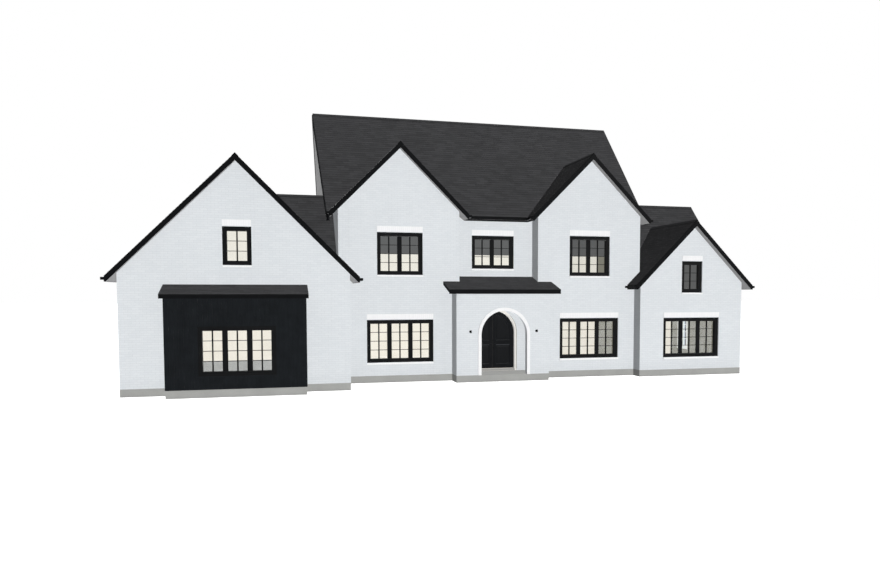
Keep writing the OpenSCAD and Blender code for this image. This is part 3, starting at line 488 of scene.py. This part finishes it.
def frame_white():
    mt = Mat("cream_door_frame", 0.5)
    a = mt.ramp(mt.noise(3.0, 4.0), 0.3, 0.7, 0.97, 1.03)
    g = mt.noise(1.0, 5.0, 0.6, mt.stretched(70.0, 70.0, 2.0))
    n = mt.split("Normal")
    p = mt.split("Object")
    low = mt.math("LESS_THAN", p[2], 0.345)
    between = mt.math("LESS_THAN", mt.math("ABSOLUTE", mt.math("SUBTRACT", p[0], 7.724 - SX)), 0.885)
    # grey threshold below 0.345 m between the jambs; every up-facing face is also grey, as painted shade
    step = mt.math("MAXIMUM", mt.math("MULTIPLY", low, between), mt.math("GREATER_THAN", n[2], 0.7))
    col = mt.mix(step, (0.80, 0.785, 0.755, 1.0), (0.33, 0.327, 0.318, 1.0))
    col = mt.shade(col, mt.math("MULTIPLY", a, mt.ramp(g, 0.3, 0.7, 0.975, 1.02)))
    return mt.done(col, mt.ramp(mt.noise(9.0, 3.0), 0.3, 0.7, 0.42, 0.58), mt.bump(g, 0.25, 0.0012))


def floor_wood():
    mt = Mat("oak_floor_boards", 0.5)
    p = mt.split("Object")
    col, fac = mt.brick(p[1], p[0], 1.8, 0.14, 0.0012, 0.0, (0.58, 0.50, 0.38), (0.66, 0.57, 0.44), (0.2, 0.16, 0.12), 0.37)
    g = mt.noise(1.0, 6.0, 0.65, mt.stretched(60.0, 3.0, 60.0))
    col = mt.shade(col, mt.ramp(g, 0.3, 0.7, 0.85, 1.1))
    nn = mt.split("Normal")
    under = mt.math("LESS_THAN", nn[2], 0.3)
    col = mt.mix(under, col, (0.30, 0.295, 0.28, 1.0))
    # boards and their grey undersides glow with no lamp: painted light
    mt.put(mt.b.inputs["Emission Color"], col)
    mt.b.inputs["Emission Strength"].default_value = 0.55
    return mt.done(mt.shade(col, 0.4), mt.ramp(g, 0.3, 0.7, 0.42, 0.6), mt.bump(mt.math("SUBTRACT", g, fac), 0.3, 0.0015))


def glass():
    mt = Mat("clear_double_glazing", 0.03)
    t = mt.t
    out = t.nodes["Material Output"]
    t.nodes.remove(mt.b)
    clear = mt.node("ShaderNodeBsdfTransparent")
    clear.inputs["Color"].default_value = (0.93, 0.945, 0.94, 1.0)
    gloss = mt.node("ShaderNodeBsdfGlossy")
    gloss.inputs["Roughness"].default_value = 0.04
    gloss.inputs["Color"].default_value = (0.95, 0.97, 1.0, 1.0)
    wav = mt.bump(mt.noise(1.8, 2.0, 0.4), 0.04, 0.02)
    t.links.new(wav, gloss.inputs["Normal"])
    fr = mt.node("ShaderNodeFresnel")
    fr.inputs["IOR"].default_value = 1.45
    dust = mt.ramp(mt.noise(2.4, 5.0), 0.35, 0.75, 0.0, 0.025)
    fac = mt.math("ADD", fr.outputs[0], dust)
    mx = mt.node("ShaderNodeMixShader")
    t.links.new(fac, mx.inputs[0])
    t.links.new(clear.outputs[0], mx.inputs[1])
    t.links.new(gloss.outputs[0], mx.inputs[2])
    t.links.new(mx.outputs[0], out.inputs["Surface"])
    return mt.m


M = {
    "brick": white_brick(),
    "lintel": trim_white(),
    "arch": arch_white(),
    "concrete": concrete(),
    "siding": black_paint("black_boards", (0.0088, 0.0104, 0.0122, 1.0), 0.55, 0.3, 0.04),
    "trim": black_paint("black_trim_paint", (0.0050, 0.0054, 0.0060, 1.0), 0.42, 0.0, 0.03),
    "frame": black_paint("black_window_coat", (0.0068, 0.0072, 0.0078, 1.0), 0.40, 0.0, 0.04),
    "frame2": black_paint("black_window_coat_white_inside", (0.0068, 0.0072, 0.0078, 1.0), 0.40, 0.0, 0.04, True),
    "bead": door_bead(),
    "door": black_paint("black_door_paint", (0.0090, 0.0097, 0.0110, 1.0), 0.40, 0.12, 0.03),
    "lamp": black_paint("black_lamp_metal", (0.006, 0.006, 0.0065, 1.0), 0.5),
    "slab": shingle("roof_solid", True),
    "tabs": shingle("charcoal_shingles"),
    "ridge": shingle("ridge_shingles", True, 0.88, False),
    "doorframe": frame_white(),
    "floor": floor_wood(),
    "glass": glass(),
}


def dress(name, key):
    ob = nodes[name]
    if not ob.material_slots:
        ob.data.materials.append(M[key])
    for s in ob.material_slots:
        s.material = M[key]


for name in nodes:
    if name in ("foundation", "porch_slab"):
        k = "concrete"
    elif name == "bay_walls":
        k = "siding"
    elif name == "ridge_caps":
        k = "ridge"
    elif "roof" in name:
        k = "slab"
    elif name == "lintels_and_sills":
        k = "lintel"
    elif name == "arch_surround":
        k = "arch"
    elif name == "door_frame":
        k = "doorframe"
    elif name.startswith("door_leaf"):
        k = "door"
    elif name.startswith("upper_floor"):
        k = "floor"
    elif name in ("rake_boards", "gutters", "fascia_boards"):
        k = "trim"
    elif name == "rear_window_frames":
        k = "frame2"
    elif name.endswith("window_frames"):
        k = "frame"
    elif name.endswith("glass"):
        k = "glass"
    elif name == "porch_lights":
        k = "lamp"
    else:
        k = "brick"
    dress(name, k)


# ---------------------------------------------------------------- mesh tools
class Piece:
    def __init__(self, name, key, body="house", slot=None, smooth=False):
        self.name, self.key, self.body, self.slot = name, key, body, slot
        self.v, self.f, self.tint = [], [], []
        self.smooth = smooth

    def quad(self, pts, tint=1.0):
        i = len(self.v)
        self.v += [tuple(p) for p in pts]
        self.f.append(tuple(range(i, i + len(pts))))
        self.tint.append(tint)

    def solid(self, ring0, ring1, tint=1.0, caps=True):
        """closed strip between two rings of the same number of points"""
        n = len(ring0)
        i = len(self.v)
        self.v += [tuple(p) for p in ring0] + [tuple(p) for p in ring1]
        for k in range(n):
            j = (k + 1) % n
            self.f.append((i + k, i + j, i + n + j, i + n + k))
            self.tint.append(tint)
        if caps:
            self.f.append(tuple(i + k for k in reversed(range(n))))
            self.f.append(tuple(i + n + k for k in range(n)))
            self.tint += [tint, tint]

    def block(self, x0, x1, y0, y1, z0, z1, c=0.003, axis="z", tint=1.0):
        """bar with chamfered long edges, running along axis"""
        def sec(a0, a1, b0, b1):
            return [(a0 + c, b0), (a1 - c, b0), (a1, b0 + c), (a1, b1 - c), (a1 - c, b1), (a0 + c, b1), (a0, b1 - c), (a0, b0 + c)]
        if axis == "z":
            s = sec(x0, x1, y0, y1)
            self.solid([P(a, b, z0) for a, b in s], [P(a, b, z1) for a, b in s], tint)
        elif axis == "x":
            s = sec(y0, y1, z0, z1)
            self.solid([P(x0, a, b) for a, b in s], [P(x1, a, b) for a, b in s], tint)
        else:
            s = sec(x0, x1, z0, z1)
            self.solid([P(a, y1, b) for a, b in s], [P(a, y0, b) for a, b in s], tint)

    def make(self):
        me = bpy.data.meshes.new(self.name)
        me.from_pydata(self.v, [], self.f)
        me.validate()
        a = me.attributes.new("tint", "FLOAT", "FACE")
        if len(me.polygons) == len(self.tint):
            a.data.foreach_set("value", self.tint)
        me.materials.append(M[self.key])
        me.update()
        ob = bpy.data.objects.new(self.name, me)
        bpy.context.scene.collection.objects.link(ob)
        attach(ob, self.body)
        return ob


# ---------------------------------------------------------------- roof shingles
rng = random.Random(7)
COURSE, TAB, PROUD = 0.145, 0.32, 0.0085


def spans(poly, v):
    xs = []
    n = len(poly)
    for i in range(n):
        (u0, v0), (u1, v1) = poly[i], poly[(i + 1) % n]
        if (v0 <= v < v1) or (v1 <= v < v0):
            xs.append(u0 + (u1 - u0) * (v - v0) / (v1 - v0))
    xs.sort()
    return list(zip(xs[0::2], xs[1::2]))


def lay(piece, poly, at, step_n, painted_light_gain=1.0):
    """poly: outline (u along the eave, v up the slope), at(u, v, lift) gives the point"""
    lo = min(v for u, v in poly)
    hi = max(v for u, v in poly)
    marks = sorted(set([round(v, 5) for u, v in poly]))
    rows = []
    v = lo
    k = 0
    while v < hi - 1e-4:
        rows.append((v, min(v + COURSE, hi), k))
        v += COURSE
        k += 1
    for v0, v1, k in rows:
        cuts = [v0] + [m for m in marks if v0 + 1e-4 < m < v1 - 1e-4] + [v1]
        shift = (k % 2) * 0.5 + rng.uniform(-0.12, 0.12)
        for a, b in zip(cuts, cuts[1:]):
            sa, sb = spans(poly, a + 1e-5), spans(poly, b - 1e-5)
            if len(sa) != len(sb):
                continue
            for (l0, r0), (l1, r1) in zip(sa, sb):
                first = math.floor((min(l0, l1)) / TAB - shift)
                last = math.ceil((max(r0, r1)) / TAB - shift)
                for t in range(first, last + 1):
                    tl, tr = (t + shift) * TAB, (t + shift + 1) * TAB
                    a0, a1 = max(tl, l0), min(tr, r0)
                    b0, b1 = max(tl, l1), min(tr, r1)
                    if a1 - a0 < 1e-4 and b1 - b0 < 1e-4:
                        continue
                    if a1 < a0:
                        a0 = a1 = (a0 + a1) / 2
                    if b1 < b0:
                        b0 = b1 = (b0 + b1) / 2
                    seed = random.Random(int(tl * 1000) * 31 + k * 977 + step_n)
                    tint = painted_light_gain * seed.uniform(0.86, 1.14)
                    lift = PROUD * seed.uniform(0.75, 1.15)
                    fa = 1.0 - (a - v0) / (v1 - v0)
                    fb = 1.0 - (b - v0) / (v1 - v0)
                    la, lb = 0.0012 + lift * fa, 0.0012 + lift * fb
                    piece.quad([at(a0, a, la), at(a1, a, la), at(b1, b, lb), at(b0, b, lb)], tint)
                    # the front edge face of each tab is darkened to 0.45: painted shade
                    if abs(a - v0) < 1e-6:
                        piece.quad([at(a0, a, 0.0), at(a1, a, 0.0), at(a1, a, la), at(a0, a, la)], tint * 0.45)


S2 = math.sqrt(0.5)


def slope_front(piece, poly_xy, y_ref, z_ref, n):
    """plane that rises towards +Y at 45 degrees; poly in plan (x, y)"""
    poly = [(x, (y - y_ref) / S2) for x, y in poly_xy]
    lay(piece, poly, lambda u, v, h: P(u, y_ref + v * S2 - h * S2, z_ref + v * S2 + h * S2), n)


def slope_back(piece, poly_xy, y_ref, z_ref, n):
    poly = [(-x, (y_ref - y) / S2) for x, y in poly_xy]
    lay(piece, poly, lambda u, v, h: P(-u, y_ref - v * S2 + h * S2, z_ref + v * S2 + h * S2), n)


def slope_left(piece, poly_xy, x_ref, z_ref, n):
    """plane that rises towards +X"""
    poly = [(-y, (x - x_ref) / S2) for x, y in poly_xy]
    # left-facing slopes darkened to 0.74: painted shade
    lay(piece, poly, lambda u, v, h: P(x_ref + v * S2 - h * S2, -u, z_ref + v * S2 + h * S2), n, 0.74)


def slope_right(piece, poly_xy, x_ref, z_ref, n):
    poly = [(y, (x_ref - x) / S2) for x, y in poly_xy]
    lay(piece, poly, lambda u, v, h: P(x_ref - v * S2 + h * S2, u, z_ref + v * S2 + h * S2), n)


EO, RO = 0.31, 0.30
# main block
MX0, MX1, MY0, MY1, MH = 1.61, 13.68, 0.717, 9.217, 6.63
MYR, MZR = 4.967, 10.88
# ends of the ridge, of the front eave and of the back eave
RX0, RX1, FX0, BKX0, EX1 = 0.989, 14.24, 1.244, 1.444, 14.13
G1C, G1H, G2C, G2H = 3.885, 2.275, 11.50, 2.18
main = Piece("main_shingles", "tabs", slot="roof_shingle")
ye = MY0 - EO
slope_front(main, [(FX0, ye), (MX0 - EO, ye), (G1C, MY0 + G1H), (2 * G1C - MX0 + EO, ye), (MX1 - 2 * G2H - EO, ye), (G2C, MY0 + G2H), (MX1 + EO, ye), (EX1, ye), (RX1, MYR), (RX0, MYR)], ye, MH - EO, 1)
slope_back(main, [(EX1, MY1 + EO), (BKX0, MY1 + EO), (RX0, MYR), (RX1, MYR)], MY1 + EO, MH - EO, 2)
main.make()
gab = Piece("front_gable_shingles", "tabs", slot="roof_shingle")
for c, h, n in ((G1C, G1H, 3), (G2C, G2H, 5)):
    slope_left(gab, [(c - h - EO, -RO), (c, -RO), (c, MY0 + h), (c - h - EO, ye)], c - h - EO, MH - EO, n)
    slope_right(gab, [(c + h + EO, -RO), (c + h + EO, ye), (c, MY0 + h), (c, -RO)], c + h + EO, MH - EO, n + 1)
gab.make()
# left wing and its link to the main block
LX0, LX1, LC, LY0, LY1, LH = -5.505, 1.84, -1.8325, -1.99, 8.49, 4.20
KX0, KYR, KZ = -1.22, 3.25, 7.26
KK = MX0 - KX0
left = Piece("left_wing_shingles", "tabs", slot="roof_shingle")
slope_left(left, [(LX0 - EO, LY0 - RO), (LC, LY0 - RO), (LC, LY1 + RO), (LX0 - EO, LY1 + RO)], LX0 - EO, LH - EO, 7)
slope_right(left, [(LX1 + EO, LY0 - RO), (LX1 + EO, 0.0), (MX0, 0.0), (MX0, KYR - KK), (KX0, KYR), (MX0, KYR + KK), (MX0, LY1 + RO), (LC, LY1 + RO), (LC, LY0 - RO)], LX1 + EO, LH - EO, 8)
left.make()
link = Piece("link_shingles", "tabs", slot="roof_shingle")
slope_front(link, [(KX0, KYR), (MX0, KYR - KK), (MX0, KYR)], KYR - KK, KZ - KK, 9)
slope_back(link, [(MX0, KYR), (MX0, KYR + KK), (KX0, KYR)], KYR + KK, KZ - KK, 10)
link.make()
# right wing
WX0, WX1, WC, WY0, WH, WHW = 13.45, 18.03, 15.74, -0.556, 3.985, 2.29
SY0, SY1, SYR, WRO = 0.785, 7.585, 4.185, 0.35
right = Piece("right_wing_shingles", "tabs", slot="roof_shingle")
slope_front(right, [(MX1, SY0 - (MX1 - WX0) + 0.0), (MX1, SY0 + (MX1 - WX0)), (WC, SY0 + WHW), (WX1 + EO, SY0 - EO), (WX1 + WRO, SY0 - EO), (WX1 + WRO, SYR), (MX1, SYR)][1:], SY0 - EO, WH - EO, 11)
slope_back(right, [(WX1 + WRO, SY1 + EO), (MX1, SY1 + EO), (MX1, SYR), (WX1 + WRO, SYR)], SY1 + EO, WH - EO, 12)
right.make()
rgab = Piece("right_gable_shingles", "tabs", slot="roof_shingle")
slope_left(rgab, [(WX0 - EO, WY0 - RO), (WC, WY0 - RO), (WC, SY0 + WHW), (MX1, SY0 + (MX1 - WX0)), (MX1, 0.0), (WX0 - EO, 0.0)], WX0 - EO, WH - EO, 13)
slope_right(rgab, [(WX1 + EO, WY0 - RO), (WX1 + EO, SY0 - EO), (WC, SY0 + WHW), (WC, WY0 - RO)], WX1 + EO, WH - EO, 14)
rgab.make()


# slope and thickness of the low roofs
LEAN, LEAN_T = 0.29, 0.125


def lean_shingles(name, x0, x1, y0, y1, z1, cut=None, painted_light_gain=1.0):
    """low roof that rises from y0 to y1, where its height is z1"""
    s = math.hypot(1.0, LEAN)
    cy, cz = 1.0 / s, LEAN / s
    z0 = z1 - (y1 - y0) * LEAN
    pc = Piece(name, "tabs", slot="roof_shingle")
    poly = [(x, (y - y0) / cy) for x, y in (cut or [(x0, y0), (x1, y0), (x1, y1), (x0, y1)])]
    lay(pc, poly, lambda u, v, h: P(u, y0 + v * cy - h * cz, z0 + v * cz + h * cy), 15, painted_light_gain)
    pc.make()


# bay shingles 1.12 times lighter: painted light
lean_shingles("bay_shingles", -4.14, 0.41, -3.097 + 0.004, -1.99, 3.63, painted_light_gain=1.12)
lean_shingles("porch_shingles", 5.525, 9.875, -1.08, 0.717, 4.0,
              [(5.525, -1.08 + 0.004), (9.875, -1.08 + 0.004), (9.875, 0.0), (9.32, 0.0), (9.32, 0.717), (6.16, 0.717), (6.16, 0.0), (5.525, 0.0)])

# ---------------------------------------------------------------- bay boards
boards = Piece("bay_boards", "siding", slot="black_siding")
BX0, BX1, BY0 = -4.04, 0.335, -2.767
WIN0, WIN1, WZ0, WZ1 = -1.84 - 1.206, -1.84 + 1.206, 0.69, 2.29
PITCH, T = 0.1467, 0.014
top = 3.63 - LEAN_T - 0.777 * LEAN
n = 30
w = (BX1 - BX0) / n
for i in range(n):
    a, b = BX0 + i * w + 0.003, BX0 + (i + 1) * w - 0.003
    if i == 0:
        a = BX0 - T
    if i == n - 1:
        b = BX1 + T
    for z0, z1 in ([(0.275, top)] if (b <= WIN0 + 0.002 or a >= WIN1 - 0.002) else [(0.275, WZ0), (WZ1, top)]):
        boards.block(a, b, BY0 - T, BY0, z0, z1, 0.004)
    # parts of a board beside the window
    if a < WIN0 < b:
        boards.block(a, WIN0, BY0 - T, BY0, WZ0, WZ1, 0.004)
    if a < WIN1 < b:
        boards.block(WIN1, b, BY0 - T, BY0, WZ0, WZ1, 0.004)
for x0, x1 in ((BX0 - T, BX0), (BX1, BX1 + T)):
    m = 5
    d = (0.777) / m
    for i in range(m):
        y0, y1 = BY0 + i * d + 0.003, BY0 + (i + 1) * d - 0.003
        boards.block(x0, x1, y0, y1, 0.275, 3.63 - LEAN_T - (-1.99 - y0) * LEAN, 0.004)
boards.make()


# ---------------------------------------------------------------- window bars
REV, FD, FF, LW, MW = 0.06, 0.16, 0.138, 0.645, 0.15


def win_w(k, light=LW):
    return k * light + (k - 1) * MW + 2 * FF


class Turned(Piece):
    """a piece whose blocks are set in a wall's own axes and then turned into place"""
    place = None

    def solid(self, ring0, ring1, tint=1.0, caps=True):
        f = self.place
        super().solid([f(p) for p in ring0], [f(p) for p in ring1], tint, caps)

    def quad(self, pts, tint=1.0):
        super().quad([self.place(p) for p in pts], tint)


def placer(kind, c, y, z):
    """local x along the wall, local y into the wall from its outer face"""
    def f(p):
        lx, ly, lz = p[0] + SX, p[1] + SY, p[2]
        if kind == "front":
            q = (c + lx, y + REV + ly, z + lz)
        elif kind == "rear":
            q = (c - lx, y - REV - ly, z + lz)
        elif kind == "left":
            q = (y + REV + ly, c - lx, z + lz)
        else:
            q = (y - REV - ly, c + lx, z + lz)
        return P(*q)
    return f


def window_parts(pc, k, h, rows, kind, c, y, z, light=LW):
    pc.place = placer(kind, c, y, z)
    w = win_w(k, light)
    gz0, gz1 = FF, h - FF
    g0 = FD - 0.05
    for i in range(k):
        x0 = -w / 2 + FF + i * (light + MW)
        x1 = x0 + light
        # glazing beads round the pane
        b = 0.012
        pc.block(x0, x0 + b, g0 - 0.014, g0, gz0, gz1, 0.003)
        pc.block(x1 - b, x1, g0 - 0.014, g0, gz0, gz1, 0.003)
        pc.block(x0, x1, g0 - 0.014, g0, gz0, gz0 + b, 0.003, "x")
        pc.block(x0, x1, g0 - 0.014, g0, gz1 - b, gz1, 0.003, "x")
        # upright and level bars, outside and inside the pane
        cx = (x0 + x1) / 2
        pc.block(cx - 0.024, cx + 0.024, g0 - 0.024, g0, gz0, gz1, 0.007)
        pc.block(cx - 0.022, cx + 0.022, g0 + 0.015, g0 + 0.030, gz0, gz1, 0.005)
        for r in range(1, rows):
            zz = gz0 + (gz1 - gz0) * r / rows
            pc.block(x0, x1, g0 - 0.016, g0, zz - 0.010, zz + 0.010, 0.004, "x")
            pc.block(x0, x1, g0 + 0.015, g0 + 0.026, zz - 0.009, zz + 0.009, 0.003, "x")
    # drip rail on the lower frame and an outer step round the frame
    s = 0.010
    pc.block(-w / 2, w / 2, -s, 0.0, 0.0, 0.055, 0.004, "x")
    pc.block(-w / 2, w / 2, -s, 0.0, h - 0.055, h, 0.004, "x")
    pc.block(-w / 2, -w / 2 + 0.055, -s, 0.0, 0.055, h - 0.055, 0.004)
    pc.block(w / 2 - 0.055, w / 2, -s, 0.0, 0.055, h - 0.055, 0.004)


LOW_Z, LOW_H, UP_Z, UP_H, SM_H = 0.75, 1.6, 4.03, 1.58, 1.27
fw = Turned("front_window_bars", "frame", slot="window_frame")
window_parts(fw, 1, SM_H, 3, "front", LC, LY0, 4.27)
window_parts(fw, 3, LOW_H, 4, "front", -1.84, BY0 - REV, 0.69, 0.612)
window_parts(fw, 3, LOW_H, 4, "front", G1C, 0.0, LOW_Z)
window_parts(fw, 2, UP_H, 4, "front", G1C, 0.0, UP_Z)
window_parts(fw, 2, 1.29, 3, "front", 7.687, MY0, 4.31)
window_parts(fw, 3, LOW_H, 4, "front", G2C, 0.0, LOW_Z)
window_parts(fw, 2, UP_H, 4, "front", G2C, 0.0, UP_Z)
window_parts(fw, 3, LOW_H, 4, "front", WC, WY0, LOW_Z)
window_parts(fw, 1, SM_H, 3, "front", WC, WY0, 3.37)
fw.make()
rw = Turned("rear_window_bars", "frame2", slot="window_frame")
LD = LY1 - LY0
for c in (LY0 + LD * 0.28, LY0 + LD * 0.72):
    window_parts(rw, 2, LOW_H, 4, "left", c, LX0, LOW_Z)
for c in (LC - 2.89, LC + 2.89):
    window_parts(rw, 1, LOW_H, 4, "rear", c, LY1, LOW_Z)
window_parts(rw, 1, SM_H, 3, "rear", LC, LY1, 3.37)
for t in (-4.78, 0.0, 4.78):
    window_parts(rw, 2, LOW_H, 4, "rear", 7.645 + t, MY1, LOW_Z)
    window_parts(rw, 2, UP_H, 4, "rear", 7.645 + t, MY1, UP_Z)
window_parts(rw, 3, LOW_H, 4, "rear", (MX1 + WX1) / 2, SY1, LOW_Z)
window_parts(rw, 1, LOW_H, 4, "right", SY0 + 2.985, WX1, LOW_Z)
window_parts(rw, 1, SM_H, 3, "right", SYR, WX1, 4.27)
rw.make()

# ---------------------------------------------------------------- doors
AX, AZ, AR = 7.724, 1.782, 0.90
DY0 = 0.717 + 0.23 - 0.004 - 0.045


def door_panels(name, body, side):
    pc = Piece(name, "bead", body=body, slot="door_paint")

    def pt(x, y, z):
        return P(AX + side * x, y, z)

    def moulding(outline, tints, depth=0.012, wide=0.028):
        """raised bead that follows a closed outline (x, z) on the face of the leaf; tints gives each side a lighter
        colour as painted highlight
        """
        m = len(outline)
        cx = sum(p[0] for p in outline) / m
        cz = sum(p[1] for p in outline) / m
        rings = []
        for x, z in outline:
            d = math.hypot(cx - x, cz - z)
            ux, uz = (cx - x) / d, (cz - z) / d
            prof = [(0.0, 0.001), (0.004, -depth), (wide * 0.45, -depth), (wide * 0.7, -depth * 0.45), (wide, 0.001)]
            rings.append([pt(x + ux * a * 1.25, DY0 + b, z + uz * a * 1.25) for a, b in prof])
        for i in range(m):
            a, b = rings[i], rings[(i + 1) % m]
            for j in range(len(a) - 1):
                q = [a[j], b[j], b[j + 1], a[j + 1]]
                pc.quad(q if side > 0 else q[::-1], tints[min(i, len(tints) - 1)])

    def field(outline, depth=0.007, inset=0.075):
        """raised field with sloped edges inside a moulding"""
        m = len(outline)
        cx = sum(p[0] for p in outline) / m
        cz = sum(p[1] for p in outline) / m
        outer, inner = [], []
        for x, z in outline:
            d = math.hypot(cx - x, cz - z)
            ux, uz = (cx - x) / d, (cz - z) / d
            outer.append(pt(x + ux * inset, DY0 + 0.001, z + uz * inset))
            inner.append(pt(x + ux * (inset + 0.03), DY0 - depth, z + uz * (inset + 0.03)))
        for i in range(m):
            j = (i + 1) % m
            q = [outer[i], outer[j], inner[j], inner[i]]
            pc.quad(q if side > 0 else q[::-1])
        pc.quad(inner if side > 0 else inner[::-1])

    low = [(0.13, 0.52), (0.72, 0.52), (0.72, 1.30), (0.13, 1.30)]
    r = AR - 0.17
    arc = []
    a0, a1 = math.atan2(0.0, 1.0), math.acos(0.13 / r)
    for i in range(11):
        a = a0 + (a1 - a0) * i / 10
        arc.append((r * math.cos(a), AZ + r * math.sin(a)))
    up = [(0.13, 1.46), (0.73, 1.46)] + arc
    # tints above 1 lighten the sides that catch the light: painted highlight
    moulding(low, [1.1, 1.0, 4.4 if side > 0 else 3.6, 1.5])
    field(low)
    moulding(up, [1.0, 1.0, 1.0, 1.0, 1.0, 1.2, 1.4, 1.6, 1.8, 1.8, 1.8, 1.6, 1.2])
    field(up)
    pc.make()


door_panels("right_leaf_panels", "right_leaf", 1)
door_panels("left_leaf_panels", "left_leaf", -1)

# ---------------------------------------------------------------- lamps: caps
lamps = Piece("lamp_caps", "lamp", slot="lamp_metal")
for s in (-1, 1):
    cx, cy, cz = AX + s * 1.3 - 0.03, -0.835, 1.91
    for z0, z1, r0, r1 in ((0.038, 0.044, 0.039, 0.042), (0.044, 0.050, 0.042, 0.028), (-0.046, -0.040, 0.042, 0.039)):
        ring = lambda r, z: [P(cx + r * math.cos(2 * math.pi * k / 28), cy + r * math.sin(2 * math.pi * k / 28), cz + z) for k in range(28)]
        lamps.solid(ring(r0, z0), ring(r1, z1))
lamps.make()

# ---------------------------------------------------------------- floor of the studio
me = bpy.data.meshes.new("studio_floor")
R = 240.0
me.from_pydata([(-R, -R, -0.002), (R, -R, -0.002), (R, R, -0.002), (-R, R, -0.002)], [], [(0, 1, 2, 3)])
floor = bpy.data.objects.new("studio_floor", me)
bpy.context.scene.collection.objects.link(floor)
fm = Mat("studio_floor", 0.9)
fm.put(fm.b.inputs["Emission Color"], (1.0, 1.0, 1.0))
fm.b.inputs["Emission Strength"].default_value = 0.55
fm.done(fm.shade((0.80, 0.80, 0.80, 1.0), fm.ramp(fm.noise(0.2, 2.0), 0.3, 0.7, 0.995, 1.005)))
me.materials.append(fm.m)
floor.visible_diffuse = False

bpy.context.scene.view_settings.view_transform = "Standard"
bpy.context.scene.view_settings.look = "None"
bpy.context.scene.cycles.max_bounces = 6
bpy.context.scene.cycles.diffuse_bounces = 0
bpy.context.scene.cycles.transparent_max_bounces = 12
